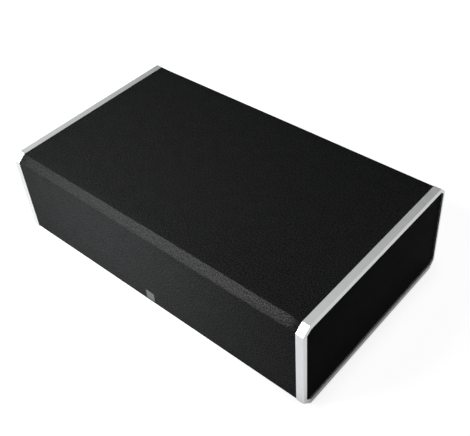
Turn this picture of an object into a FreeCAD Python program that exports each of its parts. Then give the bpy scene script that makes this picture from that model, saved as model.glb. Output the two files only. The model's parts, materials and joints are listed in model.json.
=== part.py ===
# Center channel speaker: a long low cabinet wrapped in cloth, with two aluminium end frames
# round inset black panels. Two woofers and a dome tweeter face forward behind a grille frame,
# a passive radiator lies under a guard in the top board, and a recessed terminal cup at the
# rear carries two binding posts.
#
# Millimetres. Origin on the surface that the speaker stands on, under the middle of its box.
# X runs along the cabinet, -Y faces the listener, +Z is up. "Left" is -X.
import FreeCAD, Part
import math
import os
import re
import Sketcher
from FreeCAD import Rotation, Vector

# Driving sizes, one spreadsheet cell each.
sizes = {
    # cabinet envelope
    "overall_width": 527,
    "overall_depth": 309,
    "body_height": 151,
    "front_bevel_depth": 12.6,
    "front_bevel_rise": 8.8,
    "lower_chamfer": 14.5,
    "rear_chamfer": 11,
    "front_board": 18,
    "side_board": 18,
    "rear_board": 18,
    "lower_board": 18,
    "upper_board": 22,
    # aluminium end frames and black end panels
    "trim_width": 11.3,
    "trim_edge": 0.6,
    "trim_proud": 0.6,
    "rim_front": 6.4,
    "rim_top": 6.7,
    "rim_bottom": 7.6,
    "rim_rear": 3.5,
    "rim_slant": 6.2,
    "rim_slant_rear": 4,
    "seat_width": 10,
    "seat_corner": 8,
    "panel_recess": 2.3,
    "panel_thickness": 3,
    "panel_clearance": 0.2,
    "trim_hole_spread_deep": 180,
    "trim_hole_spread_high": 70,
    "trim_head_sink": 3.2,
    # cloth, badge and feet
    "fabric_thickness": 0.8,
    "fabric_clearance": 0.5,
    "badge_side": 16,
    "badge_thickness": 0.6,
    "badge_rise": 19,
    "foot_height": 3,
    "foot_radius": 11,
    "foot_edge": 1,
    "foot_inset_across": 45,
    "foot_inset_deep": 40,
    # grille frame
    "grille_depth": 16,
    "grille_end_clearance": 0.5,
    "grille_flare": 2,
    "grille_flare_angle": 45,
    "grille_opening_clearance": 2,
    "grille_rib": 9,
    "grille_window_height": 30,
    "grille_window_rise": 24,
    "grille_window_corner": 4.5,
    "peg_radius": 4,
    "peg_length": 9,
    "peg_clearance": 0.1,
    "peg_end_room": 1,
    "peg_drop": 12.6,
    "peg_rise": 18,
    "peg_inset": 9,
    # internal braces
    "brace_gap": 5,
    "brace_thickness": 12,
    "brace_margin": 20,
    "brace_corner": 14,
    # woofers
    "woofer_end_room": 14.2,
    "woofer_flange_radius": 55,
    "woofer_flange_thickness": 4,
    "woofer_screws": 6,
    "woofer_screw_margin": 0.3,
    "woofer_cutout_radius": 48,
    "woofer_basket_clearance": 1,
    "woofer_step": 1.5,
    "woofer_mouth_radius": 42.5,
    "woofer_shelf_depth": 26,
    "woofer_shelf_radius": 36,
    "woofer_basket_depth": 44,
    "woofer_basket_wall": 2.5,
    "woofer_waist_radius": 31,
    "woofer_windows": 6,
    "woofer_window_width": 30,
    "woofer_window_rim": 2,
    "woofer_cone_radius": 36,
    "woofer_cone_rim": 2,
    "woofer_cone_thickness": 0.8,
    "woofer_cone_depth": 18,
    "woofer_roll_rise": 4,
    "surround_thickness": 0.8,
    "surround_crown": 0.6,
    "surround_on_cone": 1.6,
    "surround_clearance": 0.3,
    "roll_on_cone": 0.6,
    "roll_on_basket": 1.4,
    "spider_thickness": 0.8,
    "spider_waves": 3,
    "spider_wave": 1.3,
    "spider_clearance": 0.6,
    "glue_gap": 0.1,
    "coil_radius": 12.7,
    "coil_former": 0.3,
    "coil_winding": 0.8,
    "coil_winding_length": 12.5,
    "coil_gap": 0.6,
    "plate_thickness": 5,
    "plate_radius": 34,
    "magnet_radius": 40,
    "magnet_thickness": 14,
    "magnet_bore_radius": 18,
    "yoke_radius": 37,
    "yoke_thickness": 5,
    "motor_edge": 1,
    "dust_cap_radius": 15.5,
    "dust_cap_rise": 4.5,
    "dust_cap_thickness": 0.6,
    # tweeter
    "tweeter_radius": 30,
    "tweeter_plate": 4,
    "tweeter_mouth_radius": 25,
    "tweeter_throat_radius": 15.6,
    "tweeter_throat_edge": 0.8,
    "tweeter_hole_clearance": 1.5,
    "tweeter_dome_radius": 12.5,
    "tweeter_dome_rise": 4.2,
    "tweeter_dome_thickness": 0.5,
    "tweeter_roll_rise": 1,
    "tweeter_surround_thickness": 0.4,
    "tweeter_coil_drop": 0.6,
    "tweeter_coil_length": 5,
    "tweeter_coil_thickness": 0.6,
    "tweeter_gap": 0.5,
    "tweeter_cup_radius": 20,
    "tweeter_cup_depth": 15,
    "tweeter_cup_base": 3,
    "tweeter_magnet_thickness": 11,
    "tweeter_screws": 4,
    "tweeter_screws_around": 27.3,
    # passive radiator and its guard
    "radiator_shift": 8,
    "radiator_flange_radius": 105,
    "radiator_flange_thickness": 4,
    "radiator_screws": 8,
    "radiator_screw_margin": 0.8,
    "radiator_frame_radius": 92,
    "radiator_skirt_wall": 2.5,
    "radiator_hole_clearance": 1,
    "radiator_cone_radius": 77,
    "radiator_cone_thickness": 1.2,
    "radiator_cone_depth": 13,
    "radiator_hub_radius": 30,
    "radiator_lip": 5,
    "radiator_lip_inset": 0.5,
    "radiator_roll_gap": 1,
    "radiator_roll_wall": 0.8,
    "radiator_roll_rise": 6.2,
    "radiator_roll_sag": 0.2,
    "radiator_surround_thickness": 1,
    "radiator_weight_radius": 22,
    "radiator_weight_thickness": 6,
    "radiator_headroom": 9,
    "guard_radius": 113,
    "guard_thickness": 2.5,
    "guard_rib": 4,
    "guard_slots": 16,
    "guard_rings": 4,
    "guard_hub_radius": 16,
    "guard_rim": 8,
    # terminal cup and binding posts
    "cup_flange_width": 104,
    "cup_flange_height": 72,
    "cup_flange_thickness": 2.5,
    "cup_width": 88,
    "cup_height": 56,
    "cup_depth": 27,
    "cup_wall": 2.5,
    "cup_corner": 8,
    "cup_draft": 3,
    "cup_hole_clearance": 1,
    "cup_screw_margin": 1.5,
    "post_spacing": 19,
    "post_radius": 3,
    "post_bore_radius": 2.05,
    "post_bore_depth": 12,
    "post_length": 15.5,
    "post_tail": 8,
    "collar_radius": 7,
    "collar_thickness": 3,
    "insert_radius": 4.8,
    "insert_length": 13,
    "cap_radius": 6.6,
    "cap_length": 15,
    "cap_edge": 0.8,
    "cap_skirt": 2,
    "cap_hole_radius": 2.7,
    "cap_flutes": 8,
    "cap_flute_depth": 0.7,
    "cap_flute_width": 2,
    "cap_flute_reach": 0.5,
    "cap_gap": 0.3,
    "thread_clearance": 0.06,
    # crossover
    "crossover_width": 116,
    "crossover_length": 74,
    "crossover_thickness": 1.6,
    "crossover_standoff": 6,
    "crossover_standoff_radius": 3,
    "crossover_standoff_inset": 5,
    "crossover_shift": 60,
    "inductor_radius": 15,
    "inductor_bore_radius": 7,
    "inductor_height": 13,
    "inductor_spacing": 58,
    "inductor_shift": 14.8,
    "capacitor_radius": 7,
    "capacitor_length": 32,
    "capacitor_spacing": 36.25,
    "capacitor_shift": 2,
    "resistor_side": 9,
    "resistor_spacing": 14,
    "resistor_shift": 18.5,
    # screws
    "screw_radius": 1.9,
    "screw_head_radius": 3.2,
    "screw_head_height": 2.2,
    "screw_length": 16,
    "small_screw_radius": 1.4,
    "small_screw_head_radius": 2.4,
    "small_screw_head_height": 1.4,
    "small_screw_length": 12,
    "screw_clearance": 0.2,
    "rebate_clearance": 0.2,
}

# Places and sizes that follow from the driving ones.
places = {
    "front": "-overall_depth / 2",
    "back": "overall_depth / 2",
    "base": "foot_height",
    "crown": "foot_height + body_height",
    "skin": "trim_proud + fabric_thickness",
    "core_front": "front + skin",
    "core_back": "back - skin",
    "core_base": "base + skin",
    "core_crown": "crown - skin",
    "core_half": "overall_width / 2 - trim_width",
    "inner_half": "core_half - side_board",
    "baffle_front": "core_front + grille_depth",
    "baffle_back": "baffle_front + front_board",
    "rear_inner": "core_back - rear_board",
    "floor_top": "core_base + lower_board",
    "ceiling": "core_crown - upper_board",
    "axis_height": "foot_height + body_height / 2",
    "trim_web": "trim_width - panel_recess - panel_thickness",
    # woofers keep their distance from the end boards, and the braces theirs from the woofers
    "woofer_place": "inner_half - woofer_end_room - woofer_flange_radius",
    "brace_place": "woofer_place - woofer_cutout_radius - brace_gap - brace_thickness / 2",
    # radiator: the flange's upper face, the ledge that it sits on, and the skirt below it
    "guard_base": "core_crown - guard_thickness",
    "flange_top": "guard_base - radiator_headroom",
    "radiator_ledge": "flange_top - radiator_flange_thickness",
    "radiator_skirt": "radiator_ledge - ceiling",
    "radiator_hole": "radiator_frame_radius + radiator_skirt_wall + radiator_hole_clearance",
    "radiator_screw_circle": "radiator_flange_radius - screw_head_radius"
                             " - radiator_screw_margin",
    # woofer, measured from the baffle's front face towards the listener
    "basket_radius": "woofer_cutout_radius - woofer_basket_clearance",
    "woofer_screw_circle": "woofer_flange_radius - screw_head_radius - woofer_screw_margin",
    "cone_neck_radius": "coil_radius + coil_former",
    "cone_rim": "woofer_cone_radius - woofer_cone_rim",
    "cone_slope": "(woofer_cone_depth - woofer_cone_thickness) / (cone_rim - cone_neck_radius)",
    "plate_front": "-woofer_basket_depth",
    "plate_back": "-woofer_basket_depth - plate_thickness",
    "magnet_back": "plate_back - magnet_thickness",
    "pole_radius": "coil_radius - coil_gap",
    "plate_bore": "coil_radius + coil_former + coil_winding + coil_gap",
    "coil_middle": "plate_front - plate_thickness / 2",
    # tweeter
    "tweeter_back": "-tweeter_plate",
    "tweeter_foot": "tweeter_back + tweeter_throat_edge",
    "tweeter_cup_back": "tweeter_back - tweeter_cup_depth",
    "tweeter_cup_floor": "tweeter_cup_back + tweeter_cup_base",
    "tweeter_coil_radius": "tweeter_dome_radius",
    "tweeter_pole_radius": "tweeter_coil_radius - tweeter_gap",
    "tweeter_cup_bore": "tweeter_coil_radius + tweeter_coil_thickness + tweeter_gap",
    # terminal cup: heights count outwards from the rebate that the flange lies in
    "cup_floor": "cup_wall - cup_depth",
    "rebate_floor": "core_back + fabric_thickness - cup_flange_thickness",
    "collar_top": "cup_floor + collar_thickness",
    "post_end": "cup_floor + post_length",
    "insert_base": "collar_top + cap_gap",
    "cap_end": "insert_base + cap_length",
    "crossover_top": "floor_top + crossover_standoff + crossover_thickness",
}

# Two places that lie closer than this are the same one.
same = 1e-6

doc = FreeCAD.newDocument("center_speaker")
sheet = doc.addObject("Spreadsheet::Sheet", "Size")
for row, (alias, number) in enumerate(sizes.items(), start=1):
    sheet.set("A%d" % row, alias)
    sheet.set("B%d" % row, str(number))
    sheet.setAlias("B%d" % row, alias)
doc.recompute()

# Every node that is written out, in the order it is made.
nodes = []


def bound(text):
    # The text of an expression, with each place spelled out and each size read from the sheet.
    def swap(match):
        word = match.group(0)
        if word in places:
            return "(" + bound(places[word]) + ")"
        return "Size." + word if word in sizes else word
    return re.sub(r"[a-z][a-z_]*", swap, str(text))


def value(text):
    return float(sheet.evalExpression(bound(text)))


def flip(text):
    return "-(%s)" % text


def tie(thing, name, text):
    thing.setExpression(name, bound(text))


def put(thing, x="0", y="0", z="0", turn=None):
    # Places a sub-part; its position stays tied to the sheet.
    if turn is not None:
        thing.Placement.Rotation = turn
    for letter, text in (("x", x), ("y", y), ("z", z)):
        tie(thing, "Placement.Base." + letter, text)


def new_body(label, node=True):
    body = doc.addObject("PartDesign::Body", label)
    body.Label = label
    if node:
        nodes.append(body)
    return body


def group(label, members):
    # One node of several like pieces that lie in different places.
    compound = doc.addObject("Part::Compound", label)
    compound.Label = label
    compound.Links = members
    nodes.append(compound)
    return compound


def sketch_on(body, role, offset="0"):
    plane = [item for item in body.Origin.OriginFeatures if item.Role == role][0]
    sketch = body.newObject("Sketcher::SketchObject", body.Label + "_sketch")
    sketch.AttachmentSupport = [(plane, "")]
    sketch.MapMode = "FlatFace"
    tie(sketch, "AttachmentOffset.Base.z", offset)
    return sketch


def fix(sketch, kind, item, point, text):
    number = sketch.addConstraint(
        Sketcher.Constraint(kind, -1, 1, item, point, value(text)))
    tie(sketch, "Constraints[%d]" % number, text)


def outline(sketch, corners):
    # A closed outline. Each corner is (across, up); a third item makes the stretch that
    # leaves the corner an arc of that radius, and a minus sign before it bends it clockwise.
    first = sketch.GeometryCount
    spots = [Vector(value(corner[0]), value(corner[1]), 0) for corner in corners]
    ends = []
    for index, corner in enumerate(corners):
        start = spots[index]
        stop = spots[(index + 1) % len(spots)]
        if len(corner) == 2:
            sketch.addGeometry(Part.LineSegment(start, stop), False)
            ends.append((1, 2))
            continue
        radius = value(corner[2])
        chord = stop - start
        left = Vector(-chord.y, chord.x, 0).normalize() * math.copysign(1, radius)
        reach = math.sqrt(radius ** 2 - chord.Length ** 2 / 4)
        centre = (start + stop) * 0.5 + left * reach
        first_end, last_end = (start, stop) if radius > 0 else (stop, start)
        angles = [math.atan2(end.y - centre.y, end.x - centre.x) for end in (first_end, last_end)]
        ring = Part.Circle(centre, Vector(0, 0, 1), abs(radius))
        item = sketch.addGeometry(Part.ArcOfCircle(ring, *angles), False)
        ends.append((1, 2) if radius > 0 else (2, 1))
        number = sketch.addConstraint(Sketcher.Constraint("Radius", item, abs(radius)))
        tie(sketch, "Constraints[%d]" % number, corner[2].lstrip("-"))
    for index, corner in enumerate(corners):
        after = (index + 1) % len(corners)
        sketch.addConstraint(Sketcher.Constraint(
            "Coincident", first + index, ends[index][1], first + after, ends[after][0]))
        fix(sketch, "DistanceX", first + index, ends[index][0], corner[0])
        fix(sketch, "DistanceY", first + index, ends[index][0], corner[1])
    return sketch


def circles(sketch, centres, radius):
    for across, up in centres:
        item = sketch.addGeometry(
            Part.Circle(Vector(value(across), value(up), 0), Vector(0, 0, 1), value(radius)), False)
        fix(sketch, "DistanceX", item, 3, across)
        fix(sketch, "DistanceY", item, 3, up)
        number = sketch.addConstraint(Sketcher.Constraint("Radius", item, value(radius)))
        tie(sketch, "Constraints[%d]" % number, radius)
    return sketch


def rectangle(sketch, low_across, low_up, high_across, high_up):
    return outline(sketch, [(low_across, low_up), (high_across, low_up),
                            (high_across, high_up), (low_across, high_up)])


def rounded(sketch, half_across, half_up, corner, across="0", up="0"):
    # A rectangle with round corners about (across, up).
    corner = "(%s)" % corner
    right = "%s + %s" % (across, half_across)
    left = "%s - (%s)" % (across, half_across)
    top = "%s + %s" % (up, half_up)
    bottom = "%s - (%s)" % (up, half_up)
    return outline(sketch, [
        ("%s + %s" % (left, corner), bottom),
        ("%s - %s" % (right, corner), bottom, corner),
        (right, "%s + %s" % (bottom, corner)),
        (right, "%s - %s" % (top, corner), corner),
        ("%s - %s" % (right, corner), top),
        ("%s + %s" % (left, corner), top, corner),
        (left, "%s - %s" % (top, corner)),
        (left, "%s + %s" % (bottom, corner), corner),
    ])


def pad(sketch, length, reverse=False, both=False, draft=None):
    body = sketch.getParentGeoFeatureGroup()
    feature = body.newObject("PartDesign::Pad", body.Label + "_pad")
    feature.Profile = sketch
    feature.Reversed = reverse
    if both:
        feature.SideType = "Symmetric"
    tie(feature, "Length", length)
    if draft is not None:
        tie(feature, "TaperAngle", draft)
    return feature


def pocket(sketch, depth=None, reverse=False, both=False, draft=None):
    # Cuts against the sketch's normal; without a depth it cuts right through.
    body = sketch.getParentGeoFeatureGroup()
    feature = body.newObject("PartDesign::Pocket", body.Label + "_pocket")
    feature.Profile = sketch
    feature.Reversed = reverse
    if both:
        feature.SideType = "Symmetric"
    if depth is None:
        feature.Type = "ThroughAll"
    else:
        tie(feature, "Length", depth)
    if draft is not None:
        tie(feature, "TaperAngle", draft)
    return feature


def around(feature, sketch, count):
    # Repeats a feature about the axis that stands on its sketch's origin.
    body = feature.getParentGeoFeatureGroup()
    pattern = body.newObject("PartDesign::PolarPattern", body.Label + "_pattern")
    pattern.Originals = [feature]
    pattern.Axis = (sketch, ["N_Axis"])
    pattern.Angle = 360
    tie(pattern, "Occurrences", count)
    body.Tip = pattern
    return pattern


def turned(label, corners, node=True):
    # A piece turned about its own Z axis from a half section of (radius, height) corners.
    body = new_body(label, node)
    sketch = outline(sketch_on(body, "XZ_Plane"), corners)
    feature = body.newObject("PartDesign::Revolution", label + "_turn")
    feature.Profile = sketch
    feature.ReferenceAxis = (sketch, ["V_Axis"])
    feature.Angle = 360
    return body


def chamfer(body, size, chosen):
    # Cuts off the edges of the body so far for which chosen(edge) is true.
    doc.recompute()
    before = body.Tip
    names = ["Edge%d" % number for number, edge in enumerate(before.Shape.Edges, start=1)
             if chosen(edge)]
    feature = body.newObject("PartDesign::Chamfer", body.Label + "_chamfer")
    feature.Base = (before, names)
    tie(feature, "Size", size)
    return feature


def arc_radius(chord, rise):
    # Radius of the arc that spans a chord and rises so far above it.
    return "((%s)^2 / 4 + (%s)^2) / (2 * (%s))" % (chord, rise, rise)


def dome(radius, rise, thickness, foot):
    # Half section of a thin dome that stands on a foot height.
    inner_radius = "(%s - %s)" % (radius, thickness)
    inner_rise = "(%s - %s)" % (rise, thickness)
    return [
        (radius, foot, arc_radius("2 * " + radius, rise)),
        ("0", "%s + %s" % (foot, rise)),
        ("0", "%s + %s" % (foot, inner_rise),
         "-(%s)" % arc_radius("2 * " + inner_radius, inner_rise)),
        (inner_radius, foot)]


def slanted(deep, high, inset_deep, inset_high, inset_slant):
    # The two legs of a corner cut after the sides and the slant have each moved inwards.
    share = "(1 + (%s) * sqrt((%s)^2 + (%s)^2) / ((%s) * (%s)) - (%s) / (%s) - (%s) / (%s))" % (
        inset_slant, deep, high, deep, high, inset_deep, deep, inset_high, high)
    return "(%s) * %s" % (deep, share), "(%s) * %s" % (high, share)


def profile(front, top, bottom, rear, slant, rear_slant):
    # The eight corners of the end outline, moved inwards on each side by its own amount.
    bevel_y, bevel_z = slanted("front_bevel_depth", "front_bevel_rise", front, top, slant)
    low_y, low_z = slanted("lower_chamfer", "lower_chamfer", front, bottom, slant)
    rear_y, rear_z = slanted("rear_chamfer", "rear_chamfer", rear, top, rear_slant)
    heel_y, heel_z = slanted("rear_chamfer", "rear_chamfer", rear, bottom, rear_slant)
    near = "front + (%s)" % front
    far = "back - (%s)" % rear
    low = "base + (%s)" % bottom
    high = "crown - (%s)" % top
    return [
        ("%s + %s" % (near, low_y), low), ("%s - %s" % (far, heel_y), low),
        (far, "%s + %s" % (low, heel_z)), (far, "%s - %s" % (high, rear_z)),
        ("%s - %s" % (far, rear_y), high), ("%s + %s" % (near, bevel_y), high),
        (near, "%s - %s" % (high, bevel_z)), (near, "%s + %s" % (low, low_z)),
    ]


def even_profile(inset):
    return profile(inset, inset, inset, inset, inset, inset)


def rim_profile(more="0"):
    # The opening of an end frame, or the same outline drawn in by a clearance.
    add = " + %s" % more
    return profile("rim_front" + add, "rim_top" + add, "rim_bottom" + add,
                   "rim_rear" + add, "rim_slant" + add, "rim_slant_rear" + add)


def trim_holes():
    # Two screws in each side of an end frame, in the middle of its seat.
    ahead = "front + rim_front + seat_width / 2"
    behind = "back - rim_rear - seat_width / 2"
    below = "base + rim_bottom + seat_width / 2"
    above = "crown - rim_top - seat_width / 2"
    spread = [("%strim_hole_spread_deep / 2" % mark, height)
              for mark in ("-", "") for height in (below, above)]
    rise = [(place, "axis_height %s trim_hole_spread_high / 2" % mark)
            for mark in ("-", "+") for place in (ahead, behind)]
    return spread + rise


# Quarter turns that stand a turned piece's axis on the front or the rear.
to_front = Rotation(Vector(1, 0, 0), 90)
to_rear = Rotation(Vector(1, 0, 0), -90)


def make_boards():
    # Front baffle: cut-outs, flush rebates, screw holes and peg holes for the grille frame.
    baffle = new_body("front_baffle")
    sheet_of = rectangle(sketch_on(baffle, "XZ_Plane"), "-inner_half", "core_base",
                         "inner_half", "core_crown")
    pad(sheet_of, "front_board", reverse=True)
    woofers = [("-woofer_place", "axis_height"), ("woofer_place", "axis_height")]
    middle = [("0", "axis_height")]
    cuts = circles(sketch_on(baffle, "XZ_Plane"), woofers, "woofer_cutout_radius")
    circles(cuts, middle, "tweeter_cup_radius + tweeter_hole_clearance")
    pocket(cuts)
    rebates = circles(sketch_on(baffle, "XZ_Plane"), woofers,
                      "woofer_flange_radius + rebate_clearance")
    pocket(rebates, "woofer_flange_thickness")
    pocket(circles(sketch_on(baffle, "XZ_Plane"), middle, "tweeter_radius + rebate_clearance"),
           "tweeter_plate")
    spots = [spot for across, up in woofers
             for spot in ring_spots(across, up, "woofer_screws", "woofer_screw_circle")]
    pocket(circles(sketch_on(baffle, "XZ_Plane"), spots, "screw_radius + screw_clearance / 2"))
    spots = ring_spots("0", "axis_height", "tweeter_screws", "tweeter_screws_around")
    pocket(circles(sketch_on(baffle, "XZ_Plane"), spots,
                   "small_screw_radius + screw_clearance / 2"))
    pocket(circles(sketch_on(baffle, "XZ_Plane"), peg_spots(), "peg_radius + peg_clearance"),
           "peg_length + peg_end_room")
    put(baffle, y="baffle_front")

    # Upper board: a stepped round hole takes the radiator's frame and the guard over it.
    upper = new_body("top_board")
    pad(rectangle(sketch_on(upper, "XY_Plane"), "-inner_half", "baffle_back",
                  "inner_half", "rear_inner"), "upper_board")
    centre = [("0", "radiator_shift")]
    for radius, ground in (("radiator_hole", "0"),
                           ("radiator_flange_radius + rebate_clearance", "radiator_skirt"),
                           ("guard_radius + rebate_clearance", "guard_base - ceiling")):
        level = circles(sketch_on(upper, "XY_Plane", ground), centre, radius)
        pocket(level, reverse=True)
    pocket(circles(sketch_on(upper, "XY_Plane"),
                   ring_spots("0", "radiator_shift", "radiator_screws",
                              "radiator_screw_circle"),
                   "screw_radius + screw_clearance / 2"), reverse=True)
    put(upper, z="ceiling")

    lower = new_body("bottom_board")
    pad(rectangle(sketch_on(lower, "XY_Plane"), "-inner_half", "baffle_back",
                  "inner_half", "rear_inner"), "lower_board")
    put(lower, z="core_base")

    # Rear board: both outer edges are bevelled, and the terminal cup sits flush in it.
    rear = new_body("rear_board")
    cut_y, cut_z = slanted("rear_chamfer", "rear_chamfer", "skin", "skin", "skin")
    pad(outline(sketch_on(rear, "YZ_Plane"), [
        ("rear_inner", "core_base"), ("core_back - %s" % cut_y, "core_base"),
        ("core_back", "core_base + %s" % cut_z), ("core_back", "core_crown - %s" % cut_z),
        ("core_back - %s" % cut_y, "core_crown"), ("rear_inner", "core_crown"),
    ]), "2 * inner_half", both=True)
    pocket(rounded(sketch_on(rear, "XZ_Plane"), "(cup_width / 2 + cup_hole_clearance)",
                   "(cup_height / 2 + cup_hole_clearance)", "cup_corner", up="axis_height"))
    pocket(rounded(sketch_on(rear, "XZ_Plane", "-rebate_floor"),
                   "(cup_flange_width / 2 + rebate_clearance)",
                   "(cup_flange_height / 2 + rebate_clearance)", "cup_corner",
                   up="axis_height"), "rear_board")
    pocket(circles(sketch_on(rear, "XZ_Plane"), cup_screw_spots("axis_height"),
                   "small_screw_radius + screw_clearance / 2"))
    put(rear)

    # End boards: the whole end outline, with pilot holes for the end frame's screws.
    for side, mark in (("left", "-"), ("right", "")):
        board = new_body(side + "_end_board")
        inside = "%s(core_half - side_board / 2)" % mark
        pad(outline(sketch_on(board, "YZ_Plane"), even_profile("skin")), "side_board", both=True)
        pocket(circles(sketch_on(board, "YZ_Plane"), trim_holes(),
                       "screw_radius + screw_clearance / 2"), both=True)
        put(board, x=inside)


def ring_spots(across, up, count, radius):
    # Centres of a ring of holes, starting half a step from the first axis.
    step = 360 / sizes[count]
    return [("%s + %s * cos(%g)" % (across, radius, step * (index + 0.5)),
             "%s + %s * sin(%g)" % (up, radius, step * (index + 0.5)))
            for index in range(sizes[count])]


def peg_spots():
    # Grille pegs: in the corners of the baffle and beside the tweeter.
    outer = "inner_half - peg_inset"
    near = "woofer_place - woofer_flange_radius - peg_inset"
    high = "core_crown - peg_drop"
    low = "core_base + peg_rise"
    return [("%s(%s)" % (mark, across), up)
            for mark in ("-", "") for across in (outer, near) for up in (low, high)]


def cup_screw_spots(middle):
    across = "(cup_flange_width / 2 - small_screw_head_radius - cup_screw_margin)"
    up = "(cup_flange_height / 2 - small_screw_head_radius - cup_screw_margin)"
    return [("%s%s" % (a, across), "%s %s %s" % (middle, b, up))
            for a in ("-", "") for b in ("-", "+")]


def make_braces():
    # Two window braces tie front, rear, top and bottom boards together.
    brace_pair = new_body("window_braces")
    for mark in ("-", ""):
        plate = rectangle(sketch_on(brace_pair, "YZ_Plane",
                                    "%sbrace_place - brace_thickness / 2" % mark),
                          "baffle_back", "floor_top", "rear_inner", "ceiling")
        pad(plate, "brace_thickness")
    half_deep = "((rear_inner - baffle_back) / 2 - brace_margin)"
    half_high = "((ceiling - floor_top) / 2 - brace_margin)"
    window = rounded(sketch_on(brace_pair, "YZ_Plane"), half_deep, half_high, "brace_corner",
                     across="(rear_inner + baffle_back) / 2", up="(ceiling + floor_top) / 2")
    pocket(window, both=True)
    put(brace_pair)


def make_grille_frame():
    # One moulding in front of the baffle: it carries the cloth, forms the upper bevel and the
    # lower chamfer, and has a flared opening before each driver, windows and fixing pegs.
    frame = new_body("grille_frame")
    bevel_y, bevel_z = slanted("front_bevel_depth", "front_bevel_rise", "skin", "skin", "skin")
    low_y, low_z = slanted("lower_chamfer", "lower_chamfer", "skin", "skin", "skin")
    pad(outline(sketch_on(frame, "YZ_Plane"), [
        ("core_front + %s" % low_y, "core_base"), ("baffle_front", "core_base"),
        ("baffle_front", "core_crown"), ("core_front + %s" % bevel_y, "core_crown"),
        ("core_front", "core_crown - %s" % bevel_z), ("core_front", "core_base + %s" % low_z),
    ]), "2 * (inner_half - grille_end_clearance)", both=True)
    openings = circles(sketch_on(frame, "XZ_Plane"), [
        ("-woofer_place", "axis_height"), ("woofer_place", "axis_height")],
        "woofer_flange_radius + grille_opening_clearance")
    circles(openings, [("0", "axis_height")], "tweeter_radius + grille_opening_clearance")
    pocket(openings, both=True)
    near = "(tweeter_radius + grille_opening_clearance + grille_rib)"
    far = "(woofer_place - woofer_flange_radius - grille_opening_clearance - grille_rib)"
    windows = sketch_on(frame, "XZ_Plane")
    for mark in ("-", ""):
        for sign in ("-", "+"):
            rounded(windows, "(%s - %s) / 2" % (far, near), "grille_window_height / 2",
                    "grille_window_corner", across="%s(%s + %s) / 2" % (mark, near, far),
                    up="axis_height %s grille_window_rise" % sign)
    pocket(windows, both=True)
    flare = circles(sketch_on(frame, "XZ_Plane", flip("core_front")), [
        ("-woofer_place", "axis_height"), ("woofer_place", "axis_height")],
        "woofer_flange_radius + grille_opening_clearance + grille_flare")
    circles(flare, [("0", "axis_height")],
            "tweeter_radius + grille_opening_clearance + grille_flare")
    pocket(flare, "grille_flare", draft="-grille_flare_angle")
    pegs = circles(sketch_on(frame, "XZ_Plane", flip("baffle_front")), peg_spots(), "peg_radius")
    pad(pegs, "peg_length", reverse=True)
    put(frame)


def make_end_frames():
    # End frames: cast rings with a rim that shows and a seat behind the black panel, which is
    # let in below the rim's outer face.
    screw_sets = []
    for side, mark in (("left", "-"), ("right", "")):
        outward = mark == "-"
        frame = new_body(side + "_end_frame")
        ring = outline(sketch_on(frame, "YZ_Plane"), even_profile("0"))
        near, far = "(front + rim_front + seat_width)", "(back - rim_rear - seat_width)"
        low, high = "(base + rim_bottom + seat_width)", "(crown - rim_top - seat_width)"
        rounded(ring, "(%s - %s) / 2" % (far, near), "(%s - %s) / 2" % (high, low), "seat_corner",
                across="(%s + %s) / 2" % (far, near), up="(%s + %s) / 2" % (high, low))
        pad(ring, "trim_width", reverse=outward)
        seat = outline(sketch_on(frame, "YZ_Plane", "%s(trim_web)" % mark), rim_profile())
        pocket(seat, reverse=not outward)
        holes = circles(sketch_on(frame, "YZ_Plane"), trim_holes(),
                        "screw_radius + screw_clearance")
        pocket(holes, both=True)
        sinks = circles(sketch_on(frame, "YZ_Plane", "%s(trim_web - trim_head_sink)" % mark),
                        trim_holes(), "screw_head_radius + screw_clearance")
        pocket(sinks, reverse=not outward)
        face = (-1 if outward else 1) * value("trim_width")
        low, high = value("base"), value("crown")
        front, back = value("front"), value("back")

        def on_outer_edge(edge):
            box = edge.BoundBox
            flat = abs(box.XMin - face) < same and abs(box.XMax - face) < same
            return flat and any(min(abs(spot.Point.y - front), abs(spot.Point.y - back),
                                    abs(spot.Point.z - low), abs(spot.Point.z - high)) < same
                                for spot in edge.Vertexes)

        chamfer(frame, "trim_edge", on_outer_edge)
        put(frame, x="%score_half" % mark)

        panel = new_body(side + "_end_panel")
        pad(outline(sketch_on(panel, "YZ_Plane"), rim_profile("panel_clearance")),
            "panel_thickness", reverse=outward)
        put(panel, x="%s(core_half + trim_web)" % mark)

        screws = new_body(side + "_trim_screws", node=False)
        pad(circles(sketch_on(screws, "YZ_Plane"), trim_holes(), "screw_head_radius"),
            "screw_head_height", reverse=outward)
        pad(circles(sketch_on(screws, "YZ_Plane"), trim_holes(), "screw_radius"),
            "screw_length", reverse=not outward)
        put(screws, x="%s(core_half + trim_web - trim_head_sink)" % mark)
        screw_sets.append(screws)
    group("trim_screws", screw_sets)


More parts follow.
